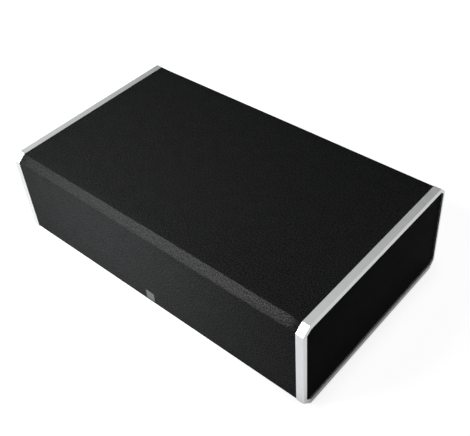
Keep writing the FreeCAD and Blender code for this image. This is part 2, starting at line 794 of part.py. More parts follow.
def make_skin():
    # Cloth: one stretched sleeve between the end frames, open behind for the terminal cup.
    cloth = new_body("fabric_wrap")
    sleeve = outline(sketch_on(cloth, "YZ_Plane"), even_profile("trim_proud"))
    outline(sleeve, even_profile("skin"))
    pad(sleeve, "2 * core_half", both=True)
    hole = rounded(sketch_on(cloth, "XZ_Plane"), "(cup_flange_width / 2 + fabric_clearance)",
                   "(cup_flange_height / 2 + fabric_clearance)", "cup_corner", up="axis_height")
    pocket(hole)
    put(cloth)

    # Badge: a small blank plate low in the middle of the front.
    badge = new_body("badge")
    half = "badge_side / 2"
    pad(rectangle(sketch_on(badge, "XZ_Plane"), "-%s" % half, "0", half, "badge_side"),
        "badge_thickness")
    put(badge, y="front + trim_proud", z="base + badge_rise")

    # Feet: four rubber discs under the cloth, with a bevelled lower edge.
    feet = new_body("rubber_feet")
    across = "(overall_width / 2 - foot_inset_across)"
    deep = "(overall_depth / 2 - foot_inset_deep)"
    corners = [("%s%s" % (a, across), "%s%s" % (b, deep)) for a in ("-", "") for b in ("-", "")]
    pad(circles(sketch_on(feet, "XY_Plane"), corners, "foot_radius"), "foot_height + trim_proud")
    chamfer(feet, "foot_edge", lambda edge: edge.BoundBox.ZMax < same)
    put(feet)


def make_woofer(side, mark):
    # One mid-woofer, turned about its axis; height 0 is the baffle's front face.
    def place(piece):
        put(piece, x="%swoofer_place" % mark, y="baffle_front", z="axis_height", turn=to_front)

    # Basket: flange, stepped landing for the surround, open bowl with six windows, spider
    # shelf, waist and a bottom that the motor is fixed to.
    name = side + "_woofer_"
    basket = turned(name + "basket", [
        ("woofer_flange_radius", "-woofer_flange_thickness"), ("woofer_flange_radius", "0"),
        ("woofer_cutout_radius", "0"), ("woofer_cutout_radius", "-woofer_step"),
        ("woofer_mouth_radius", "-woofer_step"),
        ("woofer_mouth_radius", "-woofer_flange_thickness"),
        ("woofer_shelf_radius", "-woofer_shelf_depth"),
        ("woofer_waist_radius", "-woofer_shelf_depth"),
        ("woofer_waist_radius", "woofer_basket_wall - woofer_basket_depth"),
        ("magnet_bore_radius", "woofer_basket_wall - woofer_basket_depth"),
        ("magnet_bore_radius", "-woofer_basket_depth"), ("plate_radius", "-woofer_basket_depth"),
        ("plate_radius", "-woofer_shelf_depth - woofer_basket_wall"),
        ("woofer_shelf_radius + woofer_basket_wall", "-woofer_shelf_depth - woofer_basket_wall"),
        ("basket_radius", "-woofer_flange_thickness - woofer_window_rim"),
        ("basket_radius", "-woofer_flange_thickness"),
    ])
    window = rectangle(
        sketch_on(basket, "XY_Plane", "-woofer_flange_thickness - woofer_window_rim"),
        "woofer_shelf_radius + woofer_basket_wall / 2", "-woofer_window_width / 2",
        "woofer_cutout_radius", "woofer_window_width / 2")
    opening = pocket(window, "woofer_shelf_depth - woofer_flange_thickness - 2 * woofer_window_rim")
    around(opening, window, "woofer_windows")
    spots = ring_spots("0", "0", "woofer_screws", "woofer_screw_circle")
    holes = circles(sketch_on(basket, "XY_Plane"), spots, "screw_radius + screw_clearance")
    pocket(holes, "woofer_flange_thickness")
    place(basket)

    # Motor: front plate, ferrite ring, and the yoke with its pole.
    place(turned(name + "front_plate", [
        ("plate_bore", "plate_back"), ("plate_radius", "plate_back"),
        ("plate_radius", "plate_front"), ("plate_bore", "plate_front")]))
    place(turned(name + "magnet", [
        ("magnet_bore_radius", "magnet_back"), ("magnet_radius - motor_edge", "magnet_back"),
        ("magnet_radius", "magnet_back + motor_edge"),
        ("magnet_radius", "plate_back - motor_edge"),
        ("magnet_radius - motor_edge", "plate_back"), ("magnet_bore_radius", "plate_back")]))
    place(turned(name + "yoke", [
        ("0", "magnet_back - yoke_thickness"),
        ("yoke_radius - motor_edge", "magnet_back - yoke_thickness"),
        ("yoke_radius", "magnet_back - yoke_thickness + motor_edge"),
        ("yoke_radius", "magnet_back"), ("pole_radius", "magnet_back"),
        ("pole_radius", "plate_front"), ("0", "plate_front")]))

    # Cone with a flat rim, then its coil, dust cap, surround and spider.
    cone_face = "-woofer_step - woofer_cone_depth"
    place(turned(name + "cone", [
        ("cone_neck_radius", cone_face), ("cone_rim", "-woofer_step - woofer_cone_thickness"),
        ("woofer_cone_radius", "-woofer_step - woofer_cone_thickness"),
        ("woofer_cone_radius", "-woofer_step"), ("cone_rim", "-woofer_step"),
        ("cone_neck_radius", cone_face + " + woofer_cone_thickness")]))
    place(turned(name + "voice_coil", [
        ("coil_radius", "coil_middle - coil_winding_length / 2"),
        ("cone_neck_radius + coil_winding", "coil_middle - coil_winding_length / 2"),
        ("cone_neck_radius + coil_winding", "coil_middle + coil_winding_length / 2"),
        ("cone_neck_radius", "coil_middle + coil_winding_length / 2"),
        ("cone_neck_radius", cone_face + " + woofer_cone_thickness"),
        ("coil_radius", cone_face + " + woofer_cone_thickness")]))
    climb = " + woofer_cone_thickness + cone_slope * (dust_cap_radius - cone_neck_radius)"
    seat = cone_face + climb
    place(turned(name + "dust_cap",
                 dome("dust_cap_radius", "dust_cap_rise", "dust_cap_thickness", seat)))
    # roll of the surround: the outer and inner arcs stand on the two glued lips
    step = "surround_thickness"
    inner = "woofer_cone_radius - roll_on_cone"
    outer = "woofer_mouth_radius + roll_on_basket"
    wide = "%s - (%s)" % (outer, inner)
    tight = "%s - 2 * %s" % (wide, step)
    under = "-(%s)" % arc_radius(tight, "woofer_roll_rise - surround_crown")
    top = "surround_thickness - woofer_step"
    inner_edge = "woofer_cone_radius - surround_on_cone"
    outer_edge = "woofer_cutout_radius - surround_clearance"
    place(turned(name + "surround", [
        (inner_edge, "-woofer_step"), ("%s + %s" % (inner, step), "-woofer_step", under),
        ("%s - %s" % (outer, step), "-woofer_step"), (outer_edge, "-woofer_step"),
        (outer_edge, top), (outer, top, arc_radius(wide, "woofer_roll_rise")), (inner, top),
        (inner_edge, top)]))
    # the spider rises and falls in even steps from the coil to the waist
    turns = 2 * sizes["spider_waves"]
    start = "(cone_neck_radius + glue_gap)"
    pitch = "((woofer_waist_radius - spider_thickness - %s) / %d)" % (start, turns)
    level = "(spider_thickness - woofer_shelf_depth)"
    crests = []
    for index in range(turns + 1):
        sway = "+" if index % 2 == 0 else "-"
        height = "%s %s spider_wave" % (level, sway) if index < turns else level
        crests.append(("%s + %d * %s" % (start, index, pitch), height))
    upper = crests + [("woofer_shelf_radius - spider_clearance", level)]
    lower = [(across, "%s - spider_thickness" % up) for across, up in reversed(upper)]
    place(turned(name + "spider", upper + lower))


def make_tweeter():
    # Dome tweeter; height 0 is again the baffle's front face.
    def place(piece):
        put(piece, y="baffle_front", z="axis_height", turn=to_front)

    plate = turned("tweeter_faceplate", [
        ("tweeter_throat_radius", "tweeter_back"), ("tweeter_radius", "tweeter_back"),
        ("tweeter_radius", "0"),
        ("tweeter_mouth_radius", "0",
         arc_radius("2 * (tweeter_mouth_radius - tweeter_throat_radius)",
                    "tweeter_plate - tweeter_throat_edge")),
        ("tweeter_throat_radius", "tweeter_foot")])
    spots = ring_spots("0", "0", "tweeter_screws", "tweeter_screws_around")
    pocket(circles(sketch_on(plate, "XY_Plane"), spots, "small_screw_radius + screw_clearance"),
           both=True)
    place(plate)

    place(turned("tweeter_dome", dome("tweeter_dome_radius", "tweeter_dome_rise",
                                      "tweeter_dome_thickness", "tweeter_foot")))
    edge = "(tweeter_dome_radius + glue_gap)"
    land = "(tweeter_throat_radius - glue_gap)"
    below = "tweeter_foot - tweeter_surround_thickness"
    roll = arc_radius("%s - %s" % (land, edge), "tweeter_roll_rise")
    place(turned("tweeter_surround", [
        (edge, below, "-(%s)" % roll), (land, below), (land, "tweeter_foot", roll),
        (edge, "tweeter_foot")]))
    wound = "tweeter_coil_radius + tweeter_coil_thickness"
    low, high = "tweeter_foot - tweeter_coil_length", "tweeter_foot - tweeter_coil_drop"
    place(turned("tweeter_voice_coil", [
        ("tweeter_coil_radius", low), (wound, low), (wound, high), ("tweeter_coil_radius", high)]))
    top = "tweeter_cup_floor + tweeter_magnet_thickness"
    place(turned("tweeter_magnet", [
        ("0", "tweeter_cup_floor"), ("tweeter_pole_radius", "tweeter_cup_floor"),
        ("tweeter_pole_radius", top), ("0", top)]))
    place(turned("tweeter_cup", [
        ("0", "tweeter_cup_back"), ("tweeter_cup_radius - motor_edge", "tweeter_cup_back"),
        ("tweeter_cup_radius", "tweeter_cup_back + motor_edge"),
        ("tweeter_cup_radius", "tweeter_back"), ("tweeter_cup_bore", "tweeter_back"),
        ("tweeter_cup_bore", "tweeter_cup_floor"), ("0", "tweeter_cup_floor")]))


def make_radiator():
    # Passive radiator: height 0 is the upper face of its frame's flange.
    def place(piece):
        put(piece, y="radiator_shift", z="flange_top")

    skirt = "radiator_frame_radius + radiator_skirt_wall"
    frame = turned("radiator_frame", [
        ("radiator_frame_radius", "-radiator_flange_thickness - radiator_skirt"),
        (skirt, "-radiator_flange_thickness - radiator_skirt"),
        (skirt, "-radiator_flange_thickness"),
        ("radiator_flange_radius", "-radiator_flange_thickness"), ("radiator_flange_radius", "0"),
        ("radiator_frame_radius", "0")])
    spots = ring_spots("0", "0", "radiator_screws", "radiator_screw_circle")
    pocket(circles(sketch_on(frame, "XY_Plane"), spots, "screw_radius + screw_clearance"),
           "radiator_flange_thickness")
    place(frame)

    # a flat rim, a shallow dish and a flat hub
    rim = "radiator_cone_radius - radiator_lip"
    thick = "radiator_cone_thickness"
    place(turned("radiator_cone", [
        ("0", "-radiator_cone_depth - %s" % thick),
        ("radiator_hub_radius", "-radiator_cone_depth - %s" % thick), (rim, "-%s" % thick),
        ("radiator_cone_radius", "-%s" % thick), ("radiator_cone_radius", "0"), (rim, "0"),
        ("radiator_hub_radius", "-radiator_cone_depth"), ("0", "-radiator_cone_depth")]))
    high = "-radiator_cone_depth - %s" % thick
    low = high + " - radiator_weight_thickness"
    place(turned("radiator_weight", [
        ("0", low), ("radiator_weight_radius", low), ("radiator_weight_radius", high),
        ("0", high)]))
    # the roll hangs between its two glued lips, out of the guard's way
    inner = "(radiator_cone_radius + radiator_roll_gap)"
    outer = "(radiator_frame_radius - radiator_roll_gap)"
    wide = "%s - %s" % (outer, inner)
    under = arc_radius(wide + " + 2 * radiator_roll_wall",
                       "radiator_roll_rise + radiator_roll_sag")
    over = "-(%s)" % arc_radius(wide, "radiator_roll_rise")
    inner_edge = rim + " + radiator_lip_inset"
    outer_edge = "radiator_frame_radius + radiator_lip"
    face = "radiator_surround_thickness"
    place(turned("radiator_surround", [
        (inner_edge, "0"), ("%s - radiator_roll_wall" % inner, "0", under),
        ("%s + radiator_roll_wall" % outer, "0"), (outer_edge, "0"), (outer_edge, face),
        (outer, face, over), (inner, face), (inner_edge, face)]))

    # Guard: a round plate with rings of slots, flush with the board under the cloth.
    guard = new_body("radiator_guard")
    pad(circles(sketch_on(guard, "XY_Plane"), [("0", "0")], "guard_radius"), "guard_thickness")
    band = "((guard_radius - guard_rim - guard_hub_radius) / guard_rings)"
    for ring in range(sizes["guard_rings"]):
        slot = sketch_on(guard, "XY_Plane")
        low = "(guard_hub_radius + %d * %s)" % (ring, band)
        high = "(%s + %s - guard_rib)" % (low, band)
        legs = []
        for radius in (low, high):
            half = "(%s * tan(180 / guard_slots) - guard_rib / 2)" % radius
            legs.append((radius, half))
        outline(slot, [(legs[0][0], flip(legs[0][1])), (legs[1][0], flip(legs[1][1])),
                       (legs[1][0], legs[1][1]), (legs[0][0], legs[0][1])])
        around(pocket(slot, reverse=True), slot, "guard_slots")
    put(guard, y="radiator_shift", z="guard_base")


def make_driver_screws():
    # The same screw fixes the woofers and the radiator.
    sets = []
    for label, count, radius, length, turn, place in (
            ("left_woofer_screws", "woofer_screws", "woofer_screw_circle", "screw_length",
             to_front, ("-woofer_place", "baffle_front", "axis_height")),
            ("right_woofer_screws", "woofer_screws", "woofer_screw_circle", "screw_length",
             to_front, ("woofer_place", "baffle_front", "axis_height")),
            ("radiator_screws", "radiator_screws", "radiator_screw_circle",
             "radiator_flange_thickness + radiator_skirt", None,
             ("0", "radiator_shift", "flange_top"))):
        ring = new_body(label, node=False)
        spots = ring_spots("0", "0", count, radius)
        pad(circles(sketch_on(ring, "XY_Plane"), spots, "screw_head_radius"), "screw_head_height")
        pad(circles(sketch_on(ring, "XY_Plane"), spots, "screw_radius"), length, reverse=True)
        put(ring, *place, turn=turn)
        sets.append(ring)
    group("driver_screws", sets)

    # A smaller one fixes the tweeter and the terminal cup.
    sets = []
    for label, spots, turn, place in (
            ("tweeter_screws", ring_spots("0", "0", "tweeter_screws", "tweeter_screws_around"),
             to_front, ("0", "baffle_front", "axis_height")),
            ("cup_screws", cup_screw_spots("0"), to_rear,
             ("0", "rebate_floor + cup_flange_thickness - small_screw_head_height",
              "axis_height"))):
        ring = new_body(label, node=False)
        pad(circles(sketch_on(ring, "XY_Plane"), spots, "small_screw_head_radius"),
            "small_screw_head_height")
        pad(circles(sketch_on(ring, "XY_Plane"), spots, "small_screw_radius"),
            "small_screw_length", reverse=True)
        put(ring, *place, turn=turn)
        sets.append(ring)
    group("small_screws", sets)


def make_terminals():
    # Terminal cup: a drafted moulded recess with a flange let into the rear board.
    def place(piece, across="0"):
        put(piece, x=across, y="rebate_floor", z="axis_height", turn=to_rear)

    cup = new_body("terminal_cup")
    pad(rounded(sketch_on(cup, "XY_Plane"), "cup_flange_width / 2", "cup_flange_height / 2",
                "cup_corner"), "cup_flange_thickness")
    pad(rounded(sketch_on(cup, "XY_Plane"), "cup_width / 2", "cup_height / 2", "cup_corner"),
        "cup_depth", reverse=True, draft="-cup_draft")
    inside = "(cup_%s / 2 - cup_wall)"
    pocket(rounded(sketch_on(cup, "XY_Plane", "cup_flange_thickness"), inside % "width",
                   inside % "height", "cup_corner - cup_wall"),
           "cup_flange_thickness - cup_floor", draft="-cup_draft")
    posts = [("-post_spacing / 2", "0"), ("post_spacing / 2", "0")]
    pocket(circles(sketch_on(cup, "XY_Plane"), posts, "post_radius + thread_clearance"))
    heads = circles(sketch_on(cup, "XY_Plane", "cup_flange_thickness"), cup_screw_spots("0"),
                    "small_screw_head_radius + screw_clearance / 2")
    pocket(heads, "small_screw_head_height")
    pocket(circles(sketch_on(cup, "XY_Plane", "cup_flange_thickness"), cup_screw_spots("0"),
                   "small_screw_radius + screw_clearance / 2"), "cup_flange_thickness")
    place(cup)

    # Binding posts: a bored shaft on a collar, a threaded insert and a fluted cap.
    for colour, across in (("black", "-post_spacing / 2"), ("red", "post_spacing / 2")):
        place(turned(colour + "_post", [
            ("0", "cup_floor - post_tail"), ("post_radius", "cup_floor - post_tail"),
            ("post_radius", "cup_floor"), ("collar_radius", "cup_floor"),
            ("collar_radius", "collar_top"), ("post_radius", "collar_top"),
            ("post_radius", "post_end"), ("post_bore_radius", "post_end"),
            ("post_bore_radius", "post_end - post_bore_depth"),
            ("0", "post_end - post_bore_depth")]), across)
        place(turned(colour + "_insert", [
            ("post_radius + thread_clearance", "insert_base"), ("insert_radius", "insert_base"),
            ("insert_radius", "insert_base + insert_length"),
            ("post_radius + thread_clearance", "insert_base + insert_length")]), across)
        cap = turned(colour + "_cap", [
            ("insert_radius + thread_clearance", "insert_base"), ("cap_radius", "insert_base"),
            ("cap_radius", "cap_end - cap_edge"), ("cap_radius - cap_edge", "cap_end"),
            ("cap_hole_radius", "cap_end"),
            ("cap_hole_radius", "insert_base + insert_length + thread_clearance"),
            ("insert_radius + thread_clearance", "insert_base + insert_length + thread_clearance")])
        flute = outline(sketch_on(cap, "XY_Plane", "insert_base + cap_skirt"), [
            ("cap_radius - cap_flute_depth", "-cap_flute_width / 4"),
            ("cap_radius + cap_flute_reach", "-cap_flute_width / 2"),
            ("cap_radius + cap_flute_reach", "cap_flute_width / 2"),
            ("cap_radius - cap_flute_depth", "cap_flute_width / 4")])
        around(pocket(flute, reverse=True), flute, "cap_flutes")
        place(cap, across)


def make_crossover():
    # Crossover network on four standoffs over the lower board.
    def place(piece, up="crossover_top"):
        put(piece, y="crossover_shift", z=up)

    board = new_body("crossover_board")
    pad(rectangle(sketch_on(board, "XY_Plane"), "-crossover_width / 2", "-crossover_length / 2",
                  "crossover_width / 2", "crossover_length / 2"), "crossover_thickness")
    place(board, "floor_top + crossover_standoff")
    legs = new_body("crossover_standoffs")
    across = "(crossover_width / 2 - crossover_standoff_inset)"
    along = "(crossover_length / 2 - crossover_standoff_inset)"
    corners = [("%s%s" % (a, across), "%s%s" % (b, along)) for a in ("-", "") for b in ("-", "")]
    pad(circles(sketch_on(legs, "XY_Plane"), corners, "crossover_standoff_radius"),
        "crossover_standoff")
    place(legs, "floor_top")
    coils = new_body("inductors")
    spots = [("%sinductor_spacing / 2" % mark, "inductor_shift") for mark in ("-", "")]
    pad(circles(circles(sketch_on(coils, "XY_Plane"), spots, "inductor_radius"), spots,
                "inductor_bore_radius"), "inductor_height")
    place(coils)
    cans = new_body("capacitors")
    spots = [(across, "capacitor_radius")
             for across in ("-capacitor_spacing", "0", "capacitor_spacing")]
    pad(circles(sketch_on(cans, "XZ_Plane"), spots, "capacitor_radius"), "capacitor_length")
    put(cans, y="crossover_shift - capacitor_shift", z="crossover_top")
    blocks = new_body("resistors")
    for mark in ("-", "+"):
        middle = "resistor_shift %s resistor_spacing / 2" % mark
        block = rectangle(sketch_on(blocks, "XY_Plane"), "-resistor_side / 2",
                          middle + " - resistor_side / 2", "resistor_side / 2",
                          middle + " + resistor_side / 2")
        pad(block, "resistor_side")
    place(blocks)


make_boards()
make_braces()
make_grille_frame()
make_end_frames()
make_skin()
for side, mark in (("left", "-"), ("right", "")):
    make_woofer(side, mark)
make_tweeter()
make_radiator()
make_driver_screws()
make_terminals()
make_crossover()
doc.recompute()

# Nothing is written unless every object of the model is sound.
for thing in doc.Objects:
    if "Invalid" in thing.State or "Error" in thing.State:
        raise RuntimeError("%s did not build: %s" % (thing.Label, thing.State))
for node in nodes:
    if node.Shape.isNull() or not node.Shape.isValid() or not node.Shape.Solids:
        raise RuntimeError(node.Label + " has no sound shape")

os.makedirs("parts", exist_ok=True)
for node in nodes:
    node.Shape.exportStep("parts/%s.step" % node.Label)
print("%d nodes, %d solids" % (len(nodes), sum(len(node.Shape.Solids) for node in nodes)))
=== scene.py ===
import json
import math

import bmesh
import bpy
from mathutils import Matrix, Vector


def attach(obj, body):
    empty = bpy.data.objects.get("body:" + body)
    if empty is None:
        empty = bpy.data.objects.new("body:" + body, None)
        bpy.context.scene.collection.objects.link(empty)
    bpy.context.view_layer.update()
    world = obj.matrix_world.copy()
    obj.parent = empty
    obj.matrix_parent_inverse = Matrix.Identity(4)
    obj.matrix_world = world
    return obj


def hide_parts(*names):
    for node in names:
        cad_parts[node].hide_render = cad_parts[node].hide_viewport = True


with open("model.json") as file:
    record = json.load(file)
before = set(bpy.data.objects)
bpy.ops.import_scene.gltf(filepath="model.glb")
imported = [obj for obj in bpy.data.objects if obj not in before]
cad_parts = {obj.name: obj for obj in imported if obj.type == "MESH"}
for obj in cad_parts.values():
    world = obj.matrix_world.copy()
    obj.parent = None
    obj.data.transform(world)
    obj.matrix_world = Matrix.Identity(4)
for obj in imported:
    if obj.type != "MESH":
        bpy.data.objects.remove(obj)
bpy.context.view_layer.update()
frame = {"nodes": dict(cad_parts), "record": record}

mm = 0.001
same = 1e-6  # metres; lengths that differ by less are taken as equal
print("frame loaded:", len(frame["nodes"]), "nodes")


# ---- camera and studio

camera = {
    "place": (0.57785, -0.57026, 0.82008),
    "right": (0.74824, 0.65943, -0.07273),
    "up": (-0.39710, 0.53299, 0.74715),
    "back": (0.53145, -0.53017, 0.66066),
    "lens": 58.14,  # mm on a 36 mm sensor
    "shift": (0.0249, -0.0490),
    "sensor": 36, "clip": (0.01, 50),
}


def buildCamera():
    data = bpy.data.cameras.new("photoCamera")
    data.sensor_width = camera["sensor"]
    data.lens = camera["lens"]
    data.shift_x, data.shift_y = camera["shift"]
    data.clip_start, data.clip_end = camera["clip"]
    eye = bpy.data.objects.new("photoCamera", data)
    bpy.context.scene.collection.objects.link(eye)
    turn = Matrix([camera["right"], camera["up"], camera["back"]]).transposed()
    eye.matrix_world = Matrix.Translation(camera["place"]) @ turn.to_4x4()
    bpy.context.scene.camera = eye


studio = {
    "white": (1, 1, 1, 1),
    "floorSize": 14.0,
    "floorTone": 0.42,  # what the floor gives back to the object
    # painted shadow on the floor round the object, where its glow dims: its reach, its tone for the
    # eye, and how steeply it falls for the eye and for a gloss, which sees the floor there darker
    "paintedFloorShadow": (0.024, 0.72, 1.0, 3.0),
    "floorLift": 0.95,  # keeps the floor white for the eye, under the lamps' own light
    "ambient": 0.05,
    # the wall behind is greyer for a gloss: its direction, where it starts and ends, its tone
    "rearWall": ((-0.35, 0.94, 0), 0.64, 0.80, 0.12),
    "lamps": {
        # place, aimed at, width, height, watts, spread in degrees
        "frontSoftbox": ((-0.12, -0.53, 0.25), (-0.09, -0.15, 0.09), 0.36, 0.20, 0.73, 75),
        "upperSoftbox": ((-0.85, -0.93, 1.16), (-0.85, -0.15, 0.15), 1.24, 0.28, 10.0, 120),
    },
}


def buildStudio():
    half = studio["floorSize"] / 2
    floor = meshObject("studioFloor", [(-half, -half, 0), (half, -half, 0), (half, half, 0),
                                       (-half, half, 0)], [(0, 1, 2, 3)])
    mat = bpy.data.materials.new("studioFloor")
    mat.use_nodes = True
    tree = mat.node_tree
    tree.nodes.clear()
    out = addNode(tree, "ShaderNodeOutputMaterial")
    matt = feed(tree, addNode(tree, "ShaderNodeBsdfDiffuse"),
                Color=(*[studio["floorTone"]] * 3, 1))
    glow = feed(tree, addNode(tree, "ShaderNodeEmission"), Color=studio["white"])
    reach, tone, eyePower, glossPower = studio["paintedFloorShadow"]
    # painted shadow: ambient occlusion dims the floor's glow round the object, more steeply for a
    # gloss
    uncovered = feed(tree, addNode(tree, "ShaderNodeAmbientOcclusion"), Distance=reach)
    eye = addNode(tree, "ShaderNodeLightPath").outputs["Is Camera Ray"]
    least = sums(tree, "MULTIPLY", eye, tone)
    power = sums(tree, "MULTIPLY_ADD", eye, eyePower - glossPower, glossPower)
    deep = sums(tree, "POWER", uncovered.outputs["AO"], power)
    soft = sums(tree, "MULTIPLY_ADD", deep, sums(tree, "SUBTRACT", 1.0, least), least)
    tree.links.new(sums(tree, "MULTIPLY", soft, studio["floorLift"]), glow.inputs["Strength"])
    both = feed(tree, addNode(tree, "ShaderNodeAddShader"), in0=matt.outputs[0],
                in1=glow.outputs[0])
    pick = feed(tree, addNode(tree, "ShaderNodeMixShader"), in0=seenDirectly(tree),
                in1=matt.outputs[0], in2=both.outputs[0])
    tree.links.new(pick.outputs[0], out.inputs["Surface"])
    floor.data.materials.append(mat)


def buildWorld():
    world = bpy.data.worlds.new("studioWorld")
    world.use_nodes = True
    tree = world.node_tree
    tree.nodes.clear()
    out = addNode(tree, "ShaderNodeOutputWorld")
    wall, near, far, tone = studio["rearWall"]
    way = addNode(tree, "ShaderNodeTexCoord").outputs["Generated"]
    share = feed(tree, addNode(tree, "ShaderNodeVectorMath", operation="DOT_PRODUCT"), in0=way,
                 in1=wall)
    fade = feed(tree, addNode(tree, "ShaderNodeMapRange"), Value=share.outputs["Value"],
                From_Min=near, From_Max=far, To_Min=1.0, To_Max=tone)
    eye = addNode(tree, "ShaderNodeLightPath").outputs["Is Camera Ray"]
    white = feed(tree, addNode(tree, "ShaderNodeBackground"), Color=studio["white"],
                 Strength=sums(tree, "MAXIMUM", fade.outputs[0], eye))
    soft = feed(tree, addNode(tree, "ShaderNodeBackground"), Color=studio["white"],
                Strength=studio["ambient"])
    pick = feed(tree, addNode(tree, "ShaderNodeMixShader"), in0=seenDirectly(tree),
                in1=soft.outputs[0], in2=white.outputs[0])
    tree.links.new(pick.outputs[0], out.inputs["Surface"])
    bpy.context.scene.world = world


def buildLamps():
    for name, (place, aim, wide, high, watts, spread) in studio["lamps"].items():
        data = bpy.data.lights.new(name, "AREA")
        data.shape = "RECTANGLE"
        data.size, data.size_y, data.energy = wide, high, watts
        data.spread = math.radians(spread)
        lamp = bpy.data.objects.new(name, data)
        bpy.context.scene.collection.objects.link(lamp)
        lamp.location = place
        lamp.rotation_euler = (Vector(aim) - Vector(place)).to_track_quat("-Z", "Y").to_euler()
    bpy.context.scene.view_settings.view_transform = "Standard"
    print("studio:", len(studio["lamps"]), "lamps")


def seenDirectly(tree):
    # 1 for what the eye, a gloss or a clear thing sees, 0 for light on its way to the object
    path = addNode(tree, "ShaderNodeLightPath").outputs
    direct = sums(tree, "MAXIMUM", path["Is Camera Ray"], path["Is Glossy Ray"])
    return sums(tree, "MAXIMUM", direct, path["Is Transmission Ray"])


# ---- small helpers

def meshObject(name, points, faces):
    mesh = bpy.data.meshes.new(name)
    mesh.from_pydata([tuple(p) for p in points], [], faces)
    mesh.validate()
    mesh.update()
    thing = bpy.data.objects.new(name, mesh)
    bpy.context.scene.collection.objects.link(thing)
    return thing


def addPiece(thing, body, slot, *nodes):
    # a finished piece: its finish, the body it rides on and the CAD nodes it stands for
    if not thing.data.materials:
        thing.data.materials.append(finishes[slot])
    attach(thing, body)
    if nodes:
        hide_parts(*nodes)
    return thing


def shadeSmooth(thing, angle):
    # smooth faces with sharp edges wherever two faces meet at more than an angle in degrees
    mesh = thing.data
    for face in mesh.polygons:
        face.use_smooth = True
    form = bmesh.new()
    form.from_mesh(mesh)
    limit = math.radians(angle)
    sharp = [len(edge.link_faces) != 2 or edge.calc_face_angle(0) > limit for edge in form.edges]
    form.free()
    edges = mesh.attributes.get("sharp_edge") or mesh.attributes.new(
        "sharp_edge", "BOOLEAN", "EDGE")
    edges.data.foreach_set("value", sharp)


def lathe(name, section, sides, place, axis, drop=None):
    # turns a closed (radius, height) section about an axis that stands at a place; drop says
    # how far the surface lies below the section's radius at an angle and a height
    turn = Vector((0, 0, 1)).rotation_difference(Vector(axis)).to_matrix()
    points, faces = [], []
    rows = len(section)
    for step in range(sides):
        angle = 2 * math.pi * step / sides
        for radius, height in section:
            reach = radius - drop(angle, height, radius) if drop else radius
            spot = Vector((reach * math.cos(angle), reach * math.sin(angle), height))
            points.append(turn @ spot + Vector(place))
    for step in range(sides):
        for row in range(rows):
            a, b = step * rows + row, step * rows + (row + 1) % rows
            c, d = (step + 1) % sides * rows + (row + 1) % rows, (step + 1) % sides * rows + row
            faces.append((a, b, c, d))
    thing = meshObject(name, points, faces)
    tidyMesh(thing)
    return thing


def tidyMesh(thing):
    form = bmesh.new()
    form.from_mesh(thing.data)
    bmesh.ops.remove_doubles(form, verts=form.verts, dist=same)
    bmesh.ops.dissolve_degenerate(form, dist=same, edges=form.edges)
    loose = [edge for edge in form.edges if not edge.link_faces]
    bmesh.ops.delete(form, geom=loose, context="EDGES")
    bmesh.ops.recalc_face_normals(form, faces=form.faces)
    form.to_mesh(thing.data)
    form.free()


def addNode(tree, kind, **values):
    node = tree.nodes.new(kind)
    for name, value in values.items():
        setattr(node, name, value)
    return node


def feed(tree, node, **sockets):
    # sets or links the sockets of a node, named or counted as in0, in1, ...
    for name, value in sockets.items():
        key = int(name[2:]) if name[:2] == "in" and name[2:].isdigit() else name.replace("_", " ")
        socket = node.inputs[key]
        if isinstance(value, bpy.types.NodeSocket):
            tree.links.new(value, socket)
        else:
            socket.default_value = value
    return node


def sums(tree, operation, first, second=0.0, third=None):
    node = feed(tree, addNode(tree, "ShaderNodeMath", operation=operation), in0=first, in1=second)
    if third is not None:
        feed(tree, node, in2=third)
    return node.outputs[0]


def noise(tree, vector, scale, detail, roughness):
    return feed(tree, addNode(tree, "ShaderNodeTexNoise"), Vector=vector, Scale=scale,
                Detail=detail, Roughness=roughness).outputs[0]


def mapped(tree, value, start, stop, low=0.0, high=1.0):
    # a value between start and stop spread over low to high, and held there outside
    return feed(tree, addNode(tree, "ShaderNodeMapRange"), Value=value, From_Min=start,
                From_Max=stop, To_Min=low, To_Max=high).outputs[0]


def blended(tree, share, first, second):
    # a colour between two others, given or linked
    mix = feed(tree, addNode(tree, "ShaderNodeMix", data_type="RGBA"), Factor=share, in6=first,
               in7=second)
    return mix.outputs[2]


def openGroup(name, kind, inputs, outputs):
    tree = bpy.data.node_groups.new(name, kind)
    for label, socket, value in inputs:
        item = tree.interface.new_socket(label, in_out="INPUT", socket_type="NodeSocket" + socket)
        if value is not None:
            item.default_value = value
    for label, socket in outputs:
        tree.interface.new_socket(label, in_out="OUTPUT", socket_type="NodeSocket" + socket)
    return tree, tree.nodes.new("NodeGroupInput"), tree.nodes.new("NodeGroupOutput")


# ---- surface effects that several finishes share

grainForm = {
    "fine": (3.0, 0.6), "slow": (2.0, 0.5),  # detail and roughness of both noises
    "slowSize": 12.0,  # the slow noise against the fine one
}


def buildGrain():
    # fine grain over a slower cloud
    tree, inlet, outlet = openGroup("fineGrain", "ShaderNodeTree", [
        ("Vector", "Vector", None), ("Size", "Float", 0.001), ("Stretch", "Vector", (1, 1, 1)),
        ("Cloud", "Float", 0.3)], [("Value", "Float"), ("Height", "Float")])
    drawn = feed(tree, addNode(tree, "ShaderNodeVectorMath", operation="MULTIPLY"),
                 in0=inlet.outputs["Vector"], in1=inlet.outputs["Stretch"])
    scale = sums(tree, "DIVIDE", 1.0, inlet.outputs["Size"])
    fine = noise(tree, drawn.outputs[0], scale, *grainForm["fine"])
    cloud = noise(tree, drawn.outputs[0], sums(tree, "DIVIDE", scale, grainForm["slowSize"]),
                  *grainForm["slow"])
    mixed = feed(tree, addNode(tree, "ShaderNodeMix"), Factor=inlet.outputs["Cloud"],
                 A=fine, B=cloud)
    tree.links.new(mixed.outputs[0], outlet.inputs["Value"])
    tree.links.new(fine, outlet.inputs["Height"])
    return tree


